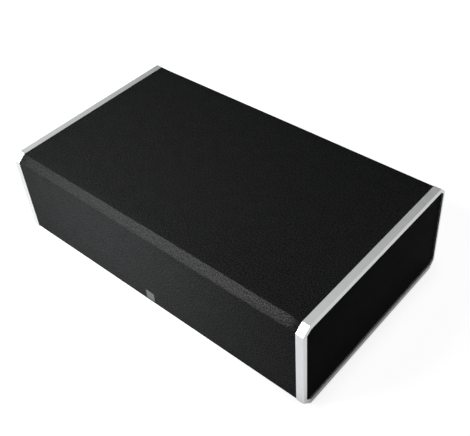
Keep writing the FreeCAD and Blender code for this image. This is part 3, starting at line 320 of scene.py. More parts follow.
weaveForm = {
    "fleckNoise": (2.0, 0.6), "cloudNoise": (3.0, 0.6),  # detail and roughness
    # parts of a noise that pass from none to all
    "spots": (0.32, 0.72), "glints": (0.42, 0.62), "clouds": (0.35, 0.65),
    "cloudLow": 0.72, "threadLow": 0.3,  # least share of flecks in a cloud, between threads
    "rough": (0.62, 0.42),
    "relief": 0.6,  # of the flecks, against the threads
    "glintGain": 1.7, "glintLow": 0.15,
}


def buildWeave():
    # over-and-under threads with flecks of lighter yarn that glint; the vector is in metres
    tree, inlet, outlet = openGroup("threadWeave", "ShaderNodeTree", [
        ("Vector", "Vector", None), ("Pitch", "Float", 0.0009), ("Shade", "Color", (0, 0, 0, 1)),
        ("Fleck", "Color", (0.1, 0.1, 0.1, 1)), ("Fleck Size", "Float", 0.002),
        ("Fleck Share", "Float", 0.5), ("Cloud Size", "Float", 0.02), ("Shine", "Float", 0.1)],
        [("Color", "Color"), ("Roughness", "Float"), ("Height", "Float"), ("Shine", "Float")])
    count = sums(tree, "DIVIDE", 2 * math.pi, inlet.outputs["Pitch"])
    parts = feed(tree, addNode(tree, "ShaderNodeSeparateXYZ"), in0=inlet.outputs["Vector"])
    waves = [sums(tree, "SINE", sums(tree, "MULTIPLY", parts.outputs[i], count)) for i in (0, 1)]
    thread = sums(tree, "MULTIPLY_ADD", sums(tree, "MULTIPLY", *waves), 0.5, 0.5)
    fleck, cloud = [
        noise(tree, inlet.outputs["Vector"], sums(tree, "DIVIDE", 1.0, inlet.outputs[size]),
              *weaveForm[form])
        for size, form in (("Fleck Size", "fleckNoise"), ("Cloud Size", "cloudNoise"))]
    spots = mapped(tree, fleck, *weaveForm["spots"])
    glints = mapped(tree, fleck, *weaveForm["glints"])
    slow = mapped(tree, cloud, *weaveForm["clouds"], weaveForm["cloudLow"], 1.0)
    part = sums(tree, "MULTIPLY", sums(tree, "MULTIPLY", spots, slow),
                inlet.outputs["Fleck Share"])
    least = weaveForm["threadLow"]
    share = sums(tree, "MULTIPLY", part, sums(tree, "MULTIPLY_ADD", thread, 1 - least, least))
    tree.links.new(blended(tree, share, inlet.outputs["Shade"], inlet.outputs["Fleck"]),
                   outlet.inputs["Color"])
    tree.links.new(mapped(tree, fleck, 0.0, 1.0, *weaveForm["rough"]),
                   outlet.inputs["Roughness"])
    tree.links.new(sums(tree, "MULTIPLY_ADD", fleck, weaveForm["relief"], thread),
                   outlet.inputs["Height"])
    glow = sums(tree, "MULTIPLY_ADD", glints, weaveForm["glintGain"], weaveForm["glintLow"])
    tree.links.new(sums(tree, "MULTIPLY", glow, inlet.outputs["Shine"]), outlet.inputs["Shine"])
    return tree


def buildTurns():
    # close turns of wire or of a cutting tool, along one direction
    tree, inlet, outlet = openGroup("closeTurns", "ShaderNodeTree", [
        ("Vector", "Vector", None), ("Along", "Vector", (0, 0, 1)), ("Pitch", "Float", 0.001)],
        [("Value", "Float")])
    along = feed(tree, addNode(tree, "ShaderNodeVectorMath", operation="DOT_PRODUCT"),
                 in0=inlet.outputs["Vector"], in1=inlet.outputs["Along"])
    phase = sums(tree, "MULTIPLY", along.outputs["Value"],
                 sums(tree, "DIVIDE", 2 * math.pi, inlet.outputs["Pitch"]))
    tree.links.new(sums(tree, "MULTIPLY_ADD", sums(tree, "SINE", phase), 0.5, 0.5),
                   outlet.inputs["Value"])
    return tree


# Each finish: two tones, size of the grain in metres, its stretch and share of slow cloud, low and
# high roughness, metal, gloss, strength and depth of the bump, direction and pitch of turned lines.
plainFinish = {"grain": 0.001, "stretch": (1, 1, 1), "cloud": 0.3, "rough": (0.4, 0.6),
               "metal": 0.0, "gloss": 0.5, "bump": 0.15, "depth": 0.0001}
grainRange = (0.3, 0.7)  # part of the grain that spans the tones and the roughness
turnedGrain = 0.3  # share of the grain in a turned surface
finishBook = {
    "cabinet_board": {"tones": ((0.30, 0.20, 0.12), (0.47, 0.35, 0.23)), "grain": 0.0015,
                      "rough": (0.7, 0.9), "gloss": 0.3, "bump": 0.3},
    "trim_metal": {"tones": ((0.58, 0.59, 0.595), (0.67, 0.68, 0.685)), "grain": 0.0009,
                   "cloud": 0.35, "rough": (0.30, 0.42), "metal": 1.0, "bump": 0.06,
                   "depth": 0.00004},
    "end_gloss": {"tones": ((0.0060, 0.0058, 0.0059), (0.0085, 0.0082, 0.0084)), "grain": 0.0012,
                  "cloud": 0.7, "rough": (0.35, 0.5), "gloss": 0.002, "bump": 0.05,
                  "depth": 0.00003},
    "badge_metal": {"tones": ((0.085, 0.087, 0.09), (0.13, 0.132, 0.136)), "grain": 0.0004,
                    "stretch": (0.08, 1, 1), "rough": (0.28, 0.45), "metal": 1.0, "bump": 0.1,
                    "depth": 0.00002},
    "foot_rubber": {"tones": ((0.012, 0.012, 0.012), (0.022, 0.022, 0.022)), "grain": 0.0006,
                    "rough": (0.75, 0.95), "gloss": 0.3, "bump": 0.2},
    "black_moulding": {"tones": ((0.012, 0.012, 0.0125), (0.020, 0.020, 0.021)), "grain": 0.0007,
                       "rough": (0.5, 0.68), "gloss": 0.35, "bump": 0.25, "depth": 0.00006},
    "cast_basket": {"tones": ((0.020, 0.020, 0.021), (0.035, 0.035, 0.036)), "grain": 0.0012,
                    "rough": (0.5, 0.7), "gloss": 0.4, "bump": 0.3},
    "motor_steel": {"tones": ((0.42, 0.42, 0.41), (0.55, 0.55, 0.54)), "grain": 0.0008,
                    "rough": (0.3, 0.5), "metal": 1.0, "turns": ((0, 1, 0), 0.0006)},
    "ferrite": {"tones": ((0.025, 0.025, 0.027), (0.05, 0.05, 0.053)), "grain": 0.0005,
                "rough": (0.6, 0.85), "gloss": 0.3, "bump": 0.25},
    "cone_poly": {"tones": ((0.03, 0.03, 0.032), (0.06, 0.06, 0.063)), "grain": 0.002,
                  "rough": (0.35, 0.55), "bump": 0.15},
    "surround_rubber": {"tones": ((0.010, 0.010, 0.010), (0.018, 0.018, 0.018)), "grain": 0.0008,
                        "rough": (0.55, 0.75), "gloss": 0.35},
    "coil_copper": {"tones": ((0.45, 0.17, 0.08), (0.62, 0.28, 0.14)), "grain": 0.0006,
                    "rough": (0.25, 0.42), "metal": 1.0, "turns": ((0, 0.7, 0.7), 0.0007),
                    "bump": 0.4},
    "dome_metal": {"tones": ((0.60, 0.61, 0.63), (0.70, 0.71, 0.73)), "grain": 0.0007,
                   "rough": (0.25, 0.38), "metal": 1.0, "bump": 0.05},
    "screw_black": {"tones": ((0.018, 0.018, 0.019), (0.035, 0.035, 0.037)), "grain": 0.0004,
                    "rough": (0.35, 0.5), "metal": 0.8},
    "post_metal": {"tones": ((0.62, 0.46, 0.20), (0.75, 0.57, 0.28)), "grain": 0.0006,
                   "rough": (0.2, 0.34), "metal": 1.0, "bump": 0.08, "depth": 0.00003},
    "cap_black": {"tones": ((0.012, 0.012, 0.012), (0.022, 0.022, 0.023)), "grain": 0.0008,
                  "rough": (0.3, 0.42), "gloss": 0.45, "bump": 0.08},
    "cap_red": {"tones": ((0.36, 0.012, 0.012), (0.46, 0.022, 0.018)), "grain": 0.0008,
                "rough": (0.28, 0.4), "gloss": 0.5, "bump": 0.08},
    "circuit_board": {"tones": ((0.02, 0.09, 0.03), (0.03, 0.14, 0.05)), "grain": 0.003,
                      "rough": (0.3, 0.45), "bump": 0.1},
    "capacitor_sleeve": {"tones": ((0.30, 0.04, 0.03), (0.38, 0.06, 0.04)), "grain": 0.0015,
                         "rough": (0.25, 0.4)},
    "resistor_ceramic": {"tones": ((0.60, 0.58, 0.52), (0.72, 0.70, 0.64)), "grain": 0.0007,
                         "rough": (0.7, 0.9), "gloss": 0.3, "bump": 0.25},
    "standoff_nylon": {"tones": ((0.72, 0.70, 0.64), (0.80, 0.78, 0.72)), "grain": 0.001,
                       "rough": (0.4, 0.55)},
}
weaveBook = {
    # shade, fleck, pitch and fleck size in metres, share of flecks, shine of the yarn, bump
    "cloth": {"shade": (0.008, 0.0084, 0.0087), "fleck": (0.041, 0.0424, 0.0431), "pitch": 0.0009,
              "fleckSize": 0.0017, "share": 0.9, "shine": 0.038, "bump": 0.25, "uv": True},
    "spider_cloth": {"shade": (0.35, 0.22, 0.08), "fleck": (0.55, 0.38, 0.16), "pitch": 0.0008,
                     "fleckSize": 0.001, "share": 0.6, "shine": 0.05, "bump": 0.5, "uv": False},
}
# the shine of yarn is a thin coat that hardly changes with the angle
yarnGloss = {"Specular IOR Level": 0.0, "Coat IOR": 2.5, "Coat Roughness": 0.30}
weaveDepth = 0.0002
finishes = {}


def newFinish(name):
    mat = bpy.data.materials.new(name)
    mat.use_nodes = True
    return mat, mat.node_tree, mat.node_tree.nodes["Principled BSDF"]


def addBump(tree, shader, height, strength, depth):
    bump = feed(tree, addNode(tree, "ShaderNodeBump"), Strength=strength, Distance=depth,
                Height=height)
    tree.links.new(bump.outputs[0], shader.inputs["Normal"])


def buildFinishes():
    grain, weave, turns = buildGrain(), buildWeave(), buildTurns()
    for name, own in finishBook.items():
        look = {**plainFinish, **own}
        mat, tree, shader = newFinish(name)
        shader.inputs["Metallic"].default_value = look["metal"]
        shader.inputs["Specular IOR Level"].default_value = look["gloss"]
        where = addNode(tree, "ShaderNodeTexCoord").outputs["Object"]
        cloud = feed(tree, addNode(tree, "ShaderNodeGroup", node_tree=grain), Vector=where,
                     Size=look["grain"], Stretch=look["stretch"], Cloud=look["cloud"])
        value, height = cloud.outputs["Value"], cloud.outputs["Height"]
        if "turns" in look:
            along, pitch = look["turns"]
            lines = feed(tree, addNode(tree, "ShaderNodeGroup", node_tree=turns), Vector=where,
                         Along=along, Pitch=pitch)
            height = sums(tree, "MULTIPLY_ADD", height, turnedGrain, lines.outputs[0])
        tone = blended(tree, mapped(tree, value, *grainRange),
                       *[(*shade, 1) for shade in look["tones"]])
        tree.links.new(tone, shader.inputs["Base Color"])
        tree.links.new(mapped(tree, value, *grainRange, *look["rough"]),
                       shader.inputs["Roughness"])
        addBump(tree, shader, height, look["bump"], look["depth"])
        finishes[name] = mat
    for name, look in weaveBook.items():
        mat, tree, shader = newFinish(name)
        for label, value in yarnGloss.items():
            shader.inputs[label].default_value = value
        where = addNode(tree, "ShaderNodeTexCoord").outputs["Object"]
        if look["uv"]:
            where = addNode(tree, "ShaderNodeUVMap", uv_map="weave").outputs[0]
        cloth = feed(tree, addNode(tree, "ShaderNodeGroup", node_tree=weave), Vector=where,
                     Pitch=look["pitch"], Shade=(*look["shade"], 1), Fleck=(*look["fleck"], 1),
                     Fleck_Size=look["fleckSize"], Fleck_Share=look["share"],
                     Shine=look["shine"])
        tree.links.new(cloth.outputs["Shine"], shader.inputs["Coat Weight"])
        tree.links.new(cloth.outputs["Color"], shader.inputs["Base Color"])
        tree.links.new(cloth.outputs["Roughness"], shader.inputs["Roughness"])
        addBump(tree, shader, cloth.outputs["Height"], look["bump"], weaveDepth)
        finishes[name] = mat
    for part in frame["record"]["subparts"]:
        for socket in frame["nodes"][part["node"]].material_slots:
            socket.material = finishes[part["material_slot"]]
    print("finishes:", len(finishes))


# ---- the cloth sleeve

sleeve = {
    "halfLength": 252.2 * mm,
    "front": -153.9 * mm, "back": 153.9 * mm, "low": 3.6 * mm, "high": 153.4 * mm,
    "inset": 0.6 * mm,  # the end frames stand this much proud of the cloth
    "bevel": (12.6 * mm, 8.8 * mm), "lowerCut": (14.5 * mm, 14.5 * mm),
    "rearCut": (11 * mm, 11 * mm),
    "fold": 2.4 * mm, "foldSteps": 5,
    "thickness": 0.7 * mm,
    "column": 14 * mm, "row": 14 * mm,
    # how far the ends dive beside the end frames, how wide, and where in that width a column stands
    "tuck": 0.55 * mm, "tuckWidth": 1.3 * mm, "tuckColumn": 0.45,
    "mouthHalf": (52.5 * mm, 36.5 * mm), "mouthCorner": 8 * mm, "mouthHeight": 78.5 * mm,
    # what is taken out beyond the mouth, and how near the back a square counts as part of it
    "mouthMargin": (14 * mm, 6 * mm), "backSlack": 2 * mm,
    # the rolled edge of the mouth: growth of its outline and place against the back
    "mouthRings": ((1.2 * mm, 0.0), (0.4 * mm, -0.2 * mm), (0.0, -0.7 * mm), (0.0, -1.6 * mm)),
    # slack waves: depth, radians a metre along the cabinet and round it, width of the taut ends
    "ripple": 0.10 * mm, "waves": ((31, 9), (13, -23)), "tautEnd": 20 * mm,
}


def cutLegs(cut, inset):
    # legs of a corner cut after its outline has moved inwards
    deep, high = cut
    share = 1 + inset * math.hypot(deep, high) / (deep * high) - inset / deep - inset / high
    return deep * share, high * share


def sleeveOutline():
    # (y, z) round the cabinet, with a soft fold at each corner
    front, back, low, high = sleeve["front"], sleeve["back"], sleeve["low"], sleeve["high"]
    bevelY, bevelZ = cutLegs(sleeve["bevel"], sleeve["inset"])
    lowY, lowZ = cutLegs(sleeve["lowerCut"], sleeve["inset"])
    rearY, rearZ = cutLegs(sleeve["rearCut"], sleeve["inset"])
    corners = [Vector(c) for c in (
        (back - rearY, low), (front + lowY, low), (front, low + lowZ), (front, high - bevelZ),
        (front + bevelY, high), (back - rearY, high), (back, high - rearZ), (back, low + rearZ))]
    line = []
    for index, corner in enumerate(corners):
        before = (corners[index - 1] - corner).normalized()
        after = (corners[(index + 1) % len(corners)] - corner).normalized()
        half = before.angle(after) / 2
        reach = sleeve["fold"] / math.tan(half)
        centre = corner + (before + after).normalized() * (sleeve["fold"] / math.sin(half))
        start, stop = corner + before * reach - centre, corner + after * reach - centre
        for step in range(sleeve["foldSteps"] + 1):
            share = step / sleeve["foldSteps"]
            line.append(centre + turnBetween(start, stop, share))
    full = []
    for index, spot in enumerate(line):
        following = line[(index + 1) % len(line)]
        gap = (following - spot).length
        pieces = max(1, round(gap / sleeve["row"])) if gap > 2 * sleeve["fold"] else 1
        full += [spot.lerp(following, piece / pieces) for piece in range(pieces)]
    return full


def turnBetween(start, stop, share):
    # a point on the arc between two spokes of the same length
    swing = math.atan2(start.x * stop.y - start.y * stop.x, start.dot(stop)) * share
    return Vector((start.x * math.cos(swing) - start.y * math.sin(swing),
                   start.x * math.sin(swing) + start.y * math.cos(swing)))


def mouthLoop(angle, grow):
    # where a spoke from the mouth's middle meets its rounded outline, grown by some metres
    halfX, halfZ = (half + grow for half in sleeve["mouthHalf"])
    corner = sleeve["mouthCorner"] + grow
    dx, dz = math.cos(angle), math.sin(angle)
    far = min(half / max(abs(way), same) for half, way in ((halfX, dx), (halfZ, dz)))
    x, z = dx * far, dz * far
    inX, inZ = halfX - corner, halfZ - corner
    if abs(x) > inX and abs(z) > inZ:
        # distance along the spoke to the corner's circle
        cx, cz = math.copysign(inX, x), math.copysign(inZ, z)
        dot = dx * cx + dz * cz
        far = dot + math.sqrt(max(dot * dot - (cx * cx + cz * cz - corner * corner), 0))
        x, z = dx * far, dz * far
    return x, z


def sleeveColumns():
    # places along the cabinet, closer where the ends tuck in
    half, width = sleeve["halfLength"], sleeve["tuckWidth"]
    inner, tuck = half - width, width * sleeve["tuckColumn"]
    steps = round(2 * inner / sleeve["column"])
    middle = [-inner + 2 * inner * step / steps for step in range(steps + 1)]
    return [-half, -half + tuck, *middle, half - tuck, half]


def sleevePoints(outline, along, columns):
    half, width, count = sleeve["halfLength"], sleeve["tuckWidth"], len(outline)
    outward = []
    for index in range(count):
        side = outline[(index + 1) % count] - outline[index - 1]
        outward.append(Vector((side.y, -side.x)).normalized())
    centre = Vector((0, (sleeve["low"] + sleeve["high"]) / 2))
    if outward[0].dot(outline[0] - centre) < 0:
        outward = [-way for way in outward]
    points = []
    for x in columns:
        inside = half - abs(x)
        drop = sleeve["tuck"] * (1 - math.sin(min(inside, width) / width * math.pi / 2))
        slack = sleeve["ripple"] * min(1, inside / sleeve["tautEnd"])
        for far, spot, way in zip(along, outline, outward):
            wave = [math.sin(x * long + far * about) for long, about in sleeve["waves"]]
            lift = slack * (sum(wave) / len(wave) - 1) / 2
            place = spot + way * (lift - drop)
            points.append((x, place.x, place.y))
    return points


def openMouth(points, columns, count):
    # the squares of the sleeve but those at the mouth, and the edge they leave, walked once round
    reachX, reachZ = (half + more for half, more in zip(sleeve["mouthHalf"], sleeve["mouthMargin"]))
    faces, rim = [], {}
    for column in range(columns - 1):
        for index in range(count):
            following = (index + 1) % count
            quad = (column * count + index, column * count + following,
                    (column + 1) * count + following, (column + 1) * count + index)
            middle = sum((Vector(points[i]) for i in quad), Vector()) / 4
            if middle.y > sleeve["back"] - sleeve["backSlack"] and abs(middle.x) < reachX \
                    and abs(middle.z - sleeve["mouthHeight"]) < reachZ:
                rim.update(dict.fromkeys(zip(quad, quad[1:] + quad[:1])))
            else:
                faces.append(quad)
    follow = {b: a for a, b in rim if (b, a) not in rim}
    start = next(iter(follow))
    loop, spot = [start], follow[start]
    while spot != start:
        loop.append(spot)
        spot = follow[spot]
    return faces, loop


def rollMouth(points, faces, loop):
    # rings from the open edge to the mouth and into the cabinet
    last, height = loop, sleeve["mouthHeight"]
    for grow, sink in sleeve["mouthRings"]:
        ring = []
        for vertex in loop:
            x, _, z = points[vertex]
            newX, newZ = mouthLoop(math.atan2(z - height, x), grow)
            ring.append(len(points))
            points.append((newX, sleeve["back"] + sink, height + newZ))
        for index in range(len(loop)):
            following = (index + 1) % len(loop)
            faces.append((last[index], last[following], ring[following], ring[index]))
        last = ring


def backTop(outline, along):
    # height of the flat back's top, and how far along the cloth it is
    flat = [(spot.y, far) for far, spot in zip(along, outline) if spot.x > sleeve["back"] - same]
    high = max(flat)[0]
    return high, min(far for up, far in flat if abs(up - high) < same)


def layWeave(cloth, outline, along, laid):
    # faces outwards, and a UV map in metres along the cabinet and round it
    count = len(outline)
    high, farTop = backTop(outline, along)
    form = bmesh.new()
    form.from_mesh(cloth.data)
    bmesh.ops.recalc_face_normals(form, faces=form.faces)
    top = max(form.faces, key=lambda face: face.calc_center_median().z)
    if top.normal.z < 0:
        bmesh.ops.reverse_faces(form, faces=form.faces)
    layer = form.loops.layers.uv.new("weave")
    for face in form.faces:
        numbers = [loop.vert.index for loop in face.loops]
        spots = [number % count if number < laid else None for number in numbers]
        for loop, spot in zip(face.loops, spots):
            place = loop.vert.co
            if spot is None:
                far = farTop + high - place.z
            else:
                far = along[count if spot == 0 and count - 1 in spots else spot]
            loop[layer].uv = (place.x, far)
        face.smooth = True
    form.to_mesh(cloth.data)
    form.free()


def buildSleeve():
    outline = sleeveOutline()
    count = len(outline)
    along = [0.0]
    for index in range(count):
        along.append(along[-1] + (outline[(index + 1) % count] - outline[index]).length)
    columns = sleeveColumns()
    points = sleevePoints(outline, along, columns)
    faces, loop = openMouth(points, len(columns), count)
    rollMouth(points, faces, loop)
    cloth = meshObject("fabricSleeve", points, faces)
    layWeave(cloth, outline, along, len(columns) * count)
    solid = cloth.modifiers.new("clothThickness", "SOLIDIFY")
    solid.thickness = sleeve["thickness"]
    solid.offset = -1
    addPiece(cloth, "cabinet", "cloth", "fabric_wrap")


# ---- screws, one tree for every size

screws = {
    "sides": 24, "recess": 0.22, "seed": 7, "sharpFrom": 30,
    # shares of the head's radius: its edge half way up, its flat crown, the reach of the cross
    "waist": 0.94, "crown": 0.66, "cross": 1.05,
    "tip": (2.0, 0.12),  # length and end radius of the point, in shank radii
    # head radius, head height, shank radius
    "large": (3.2 * mm, 2.2 * mm, 1.9 * mm), "small": (2.4 * mm, 1.4 * mm, 1.4 * mm),
    "trimPlace": 255.0 * mm,
    # along and up, round an end frame
    "trimSeats": ((-90, 15.6), (90, 15.6), (-90, 142.3), (90, 142.3), (-143.1, 43.5),
                  (-143.1, 113.5), (146, 43.5), (146, 113.5)),
    # centre, circle radius, count and first angle of each ring
    "woofers": (((-165, -137.1, 78.5), (165, -137.1, 78.5)), 51.5, 6, 30),
    "tweeter": (((0, -137.1, 78.5),), 27.3, 4, 45),
    "radiator": (((0, 8, 141.1),), 101.0, 8, 22.5),
    "cupSeats": ((-48.1, 46.4), (48.1, 46.4), (-48.1, 110.6), (48.1, 110.6)),
    "cupPlace": 152.5 * mm,
    "longShank": 16 * mm, "radiatorShank": 10.5 * mm, "smallShank": 12 * mm,
}


def ringSeats(ring, facing):
    centres, radius, count, first = ring
    seats = []
    for centre in centres:
        for step in range(count):
            angle = math.radians(first + 360 / count * step)
            across, up = radius * math.cos(angle), radius * math.sin(angle)
            spot = Vector((across, up, 0)) if facing[2] else Vector((across, 0, up))
            seats.append(((Vector(centre) + spot) * mm, facing))
    return seats


def screwTree():
    # a cross-recess screw made from its sizes, set on every seat and turned to face outwards
    tree, inlet, outlet = openGroup("crossHeadScrews", "GeometryNodeTree", [
        ("Seats", "Geometry", None), ("Head Radius", "Float", 0.0032),
        ("Head Height", "Float", 0.0022), ("Shank Radius", "Float", 0.0019),
        ("Shank Length", "Float", 0.016), ("Recess Share", "Float", 0.22), ("Sides", "Int", 24),
        ("Seed", "Int", 0), ("Finish", "Material", None)], [("Screws", "Geometry")])
    radius, height = inlet.outputs["Head Radius"], inlet.outputs["Head Height"]
    shank, length = inlet.outputs["Shank Radius"], inlet.outputs["Shank Length"]

    def frustum(low, high, tall, lift):
        cone = feed(tree, addNode(tree, "GeometryNodeMeshCone"), Vertices=inlet.outputs["Sides"],
                    Radius_Bottom=low, Radius_Top=high, Depth=tall)
        spot = feed(tree, addNode(tree, "ShaderNodeCombineXYZ"), in2=lift)
        return feed(tree, addNode(tree, "GeometryNodeTransform"), Geometry=cone.outputs[0],
                    Translation=spot.outputs[0]).outputs[0]

    lower = sums(tree, "MULTIPLY", height, 0.5)
    waist, crown, wide = [sums(tree, "MULTIPLY", radius, screws[share])
                          for share in ("waist", "crown", "cross")]
    tip, point = [sums(tree, "MULTIPLY", shank, share) for share in screws["tip"]]
    straight = sums(tree, "SUBTRACT", length, tip)
    parts = [frustum(radius, waist, lower, 0.0), frustum(waist, crown, lower, lower),
             frustum(shank, shank, straight, sums(tree, "MULTIPLY", straight, -1.0)),
             frustum(point, shank, tip, sums(tree, "MULTIPLY", length, -1.0))]
    whole = addNode(tree, "GeometryNodeMeshBoolean", operation="UNION")
    for part in parts:
        tree.links.new(part, whole.inputs[1])
    cut = feed(tree, addNode(tree, "GeometryNodeMeshBoolean", operation="DIFFERENCE"),
               in0=whole.outputs[0])
    narrow = sums(tree, "MULTIPLY", radius, inlet.outputs["Recess Share"])
    for across, along in ((wide, narrow), (narrow, wide)):
        size = feed(tree, addNode(tree, "ShaderNodeCombineXYZ"), in0=across, in1=along, in2=height)
        block = feed(tree, addNode(tree, "GeometryNodeMeshCube"), Size=size.outputs[0])
        lift = feed(tree, addNode(tree, "ShaderNodeCombineXYZ"), in2=height)
        raised = feed(tree, addNode(tree, "GeometryNodeTransform"), Geometry=block.outputs[0],
                      Translation=lift.outputs[0])
        tree.links.new(raised.outputs[0], cut.inputs[1])
    spin = addNode(tree, "FunctionNodeRandomValue", data_type="FLOAT")
    feed(tree, spin, Seed=inlet.outputs["Seed"])
    angle = sums(tree, "MULTIPLY", spin.outputs[1], math.pi)
    around = feed(tree, addNode(tree, "ShaderNodeCombineXYZ"), in2=angle)
    turned = feed(tree, addNode(tree, "FunctionNodeEulerToRotation"), in0=around.outputs[0])
    facing = feed(tree, addNode(tree, "GeometryNodeInputNamedAttribute",
                                data_type="FLOAT_VECTOR"), Name="facing")
    turn = feed(tree, addNode(tree, "FunctionNodeAlignRotationToVector", axis="Z"),
                Rotation=turned.outputs[0], Vector=facing.outputs[0])
    spread = feed(tree, addNode(tree, "GeometryNodeInstanceOnPoints"),
                  Points=inlet.outputs["Seats"], Instance=cut.outputs[0],
                  Rotation=turn.outputs[0])
    real = feed(tree, addNode(tree, "GeometryNodeRealizeInstances"), Geometry=spread.outputs[0])
    done = feed(tree, addNode(tree, "GeometryNodeSetMaterial"), Geometry=real.outputs[0],
                Material=inlet.outputs["Finish"])
    tree.links.new(done.outputs[0], outlet.inputs[0])
    return tree


def setScrews(name, tree, kind, length, seats):
    # one plain mesh of every screw of a size
    thing = meshObject(name, [place for place, _ in seats], [])
    facing = thing.data.attributes.new("facing", "FLOAT_VECTOR", "POINT")
    for item, (_, way) in zip(facing.data, seats):
        item.vector = way
    radius, height, shank = screws[kind]
    values = {"Head Radius": radius, "Head Height": height, "Shank Radius": shank,
              "Shank Length": length, "Recess Share": screws["recess"], "Sides": screws["sides"],
              "Seed": screws["seed"], "Finish": finishes["screw_black"]}
    spread = thing.modifiers.new("screws", "NODES")
    spread.node_group = tree
    for item in tree.interface.items_tree:
        if item.in_out == "INPUT" and item.name in values:
            spread[item.identifier] = values[item.name]
    bpy.context.view_layer.update()
    seen = thing.evaluated_get(bpy.context.evaluated_depsgraph_get())
    whole = bpy.data.meshes.new_from_object(seen)
    thing.modifiers.clear()
    thing.data = whole
    if "facing" in whole.attributes:
        whole.attributes.remove(whole.attributes["facing"])
    return thing


def joinPieces(name, things):
    # several made meshes as one
    form = bmesh.new()
    for thing in things:
        form.from_mesh(thing.data)
    whole = meshObject(name, [], [])
    bmesh.ops.recalc_face_normals(form, faces=form.faces)
    form.to_mesh(whole.data)
    form.free()
    for thing in things:
        bpy.data.objects.remove(thing)
    return whole


def buildScrews():
    tree = screwTree()
    trim = [((side * screws["trimPlace"], along * mm, up * mm), (side, 0, 0))
            for side in (-1, 1) for along, up in screws["trimSeats"]]
    cup = [((across * mm, screws["cupPlace"], up * mm), (0, 1, 0))
           for across, up in screws["cupSeats"]]
    sets = {
        "trim_screws": [("large", screws["longShank"], trim)],
        "driver_screws": [("large", screws["longShank"], ringSeats(screws["woofers"], (0, -1, 0))),
                          ("large", screws["radiatorShank"],
                           ringSeats(screws["radiator"], (0, 0, 1)))],
        "small_screws": [("small", screws["smallShank"],
                          ringSeats(screws["tweeter"], (0, -1, 0)) + cup)],
    }
    total = 0
    for node, batches in sets.items():
        made = [setScrews("%s_%d" % (node, index), tree, *batch)
                for index, batch in enumerate(batches)]
        whole = joinPieces(node + "_cut", made)
        shadeSmooth(whole, screws["sharpFrom"])
        addPiece(whole, "cabinet", "screw_black", node)
        total += len(whole.data.polygons)
    print("screws:", total, "faces")


# ---- binding posts with a cut thread

posts = {
    "spots": {"black": -9.5 * mm, "red": 9.5 * mm}, "height": 78.5 * mm,
    "tail": 118.9 * mm, "floor": 126.9 * mm, "collar": 129.9 * mm, "end": 142.4 * mm,
    "boreBottom": 130.4 * mm,
    "radius": 3.0 * mm, "bore": 2.05 * mm, "collarRadius": 7.0 * mm, "edge": 0.35 * mm,
    "pitch": 1.0 * mm, "threadDepth": 0.28 * mm, "runout": 0.5 * mm, "rows": 8, "sides": 36,
    "clear": 0.02 * mm,  # from the collar to the nearest row of the thread
    "sharpFrom": 40,
}


def threadDrop(angle, height, radius):
    # how deep the thread is at a place on the shaft; it fades out at both ends of a run
    if abs(radius - posts["radius"]) > same:
        return 0
    fade = 0
    for low, high in ((posts["tail"], posts["floor"]), (posts["collar"], posts["end"])):
        if low < height < high:
            fade = min(1, (height - low) / posts["runout"], (high - height) / posts["runout"])
    phase = (height / posts["pitch"] - angle / (2 * math.pi)) % 1
    return posts["threadDepth"] * fade * abs(2 * phase - 1)


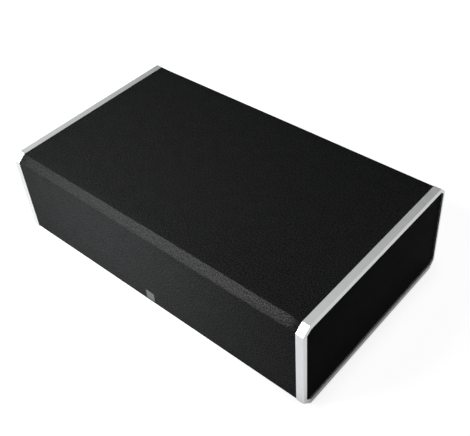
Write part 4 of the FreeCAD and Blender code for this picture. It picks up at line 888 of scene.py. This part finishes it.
def buildPosts():
    radius, edge, end, clear = (posts[key] for key in ("radius", "edge", "end", "clear"))
    for colour, across in posts["spots"].items():
        section = [(0, posts["tail"]), (radius - edge, posts["tail"])]
        section += threadRows(posts["tail"] + edge, posts["floor"] - clear)
        section += [(radius, posts["floor"]), (posts["collarRadius"] - edge, posts["floor"]),
                    (posts["collarRadius"], posts["floor"] + edge),
                    (posts["collarRadius"], posts["collar"] - edge),
                    (posts["collarRadius"] - edge, posts["collar"]), (radius, posts["collar"])]
        section += threadRows(posts["collar"] + clear, end - edge)
        section += [(radius - edge, end), (posts["bore"] + edge / 2, end),
                    (posts["bore"], end - edge / 2), (posts["bore"], posts["boreBottom"]),
                    (0, posts["boreBottom"])]
        post = lathe(colour + "_post_cut", section, posts["sides"], (across, 0, posts["height"]),
                     (0, 1, 0), threadDrop)
        shadeSmooth(post, posts["sharpFrom"])
        addPiece(post, "cabinet", "post_metal", colour + "_post")
    print("binding posts cut")


def threadRows(low, high):
    # even rows of the section between two heights, a few to each turn
    step = posts["pitch"] / posts["rows"]
    count = round((high - low) / step)
    return [(posts["radius"], low + (high - low) * index / count) for index in range(count + 1)]


# ---- the blank badge

badge = {
    "half": 8 * mm, "corner": 1.6 * mm, "cornerSteps": 5, "middle": (0, 30 * mm),
    "back": -153.9 * mm, "front": -154.5 * mm,
    # inset from the outline and depth below the front, from the back edge to the field
    "steps": ((0, 0.6), (0, 0.18), (0.06, 0.06), (0.18, 0), (0.75, 0), (0.88, 0.05),
              (1.0, 0.14)),
    "sharpFrom": 30,
}


def roundSquare(half, corner):
    # a square outline with round corners, once round
    spots = []
    for quarter in range(4):
        for step in range(badge["cornerSteps"] + 1):
            angle = math.radians(90 * quarter + 90 * step / badge["cornerSteps"])
            turn = math.radians(90 * quarter + 45)
            reach = (half - corner) * math.sqrt(2)
            spots.append((reach * math.cos(turn) + corner * math.cos(angle),
                          reach * math.sin(turn) + corner * math.sin(angle)))
    return spots


def buildBadge():
    points, faces = [], []
    middleX, middleZ = badge["middle"]
    for inset, drop in badge["steps"]:
        for x, z in roundSquare(badge["half"] - inset * mm, badge["corner"] - inset * mm):
            points.append((middleX + x, badge["front"] + drop * mm, middleZ + z))
    count = len(points) // len(badge["steps"])
    for ring in range(len(badge["steps"]) - 1):
        for index in range(count):
            a, b = ring * count + index, ring * count + (index + 1) % count
            faces.append((a, b, b + count, a + count))
    faces.append(tuple(reversed(range(count))))
    faces.append(tuple(range(len(points) - count, len(points))))
    plate = meshObject("badge_plate", points, faces)
    tidyMesh(plate)
    shadeSmooth(plate, badge["sharpFrom"])
    addPiece(plate, "cabinet", "badge_metal", "badge")
    print("badge:", len(faces), "faces")


buildCamera()
buildStudio()
buildWorld()
buildLamps()
buildFinishes()
buildSleeve()
buildScrews()
buildPosts()
buildBadge()
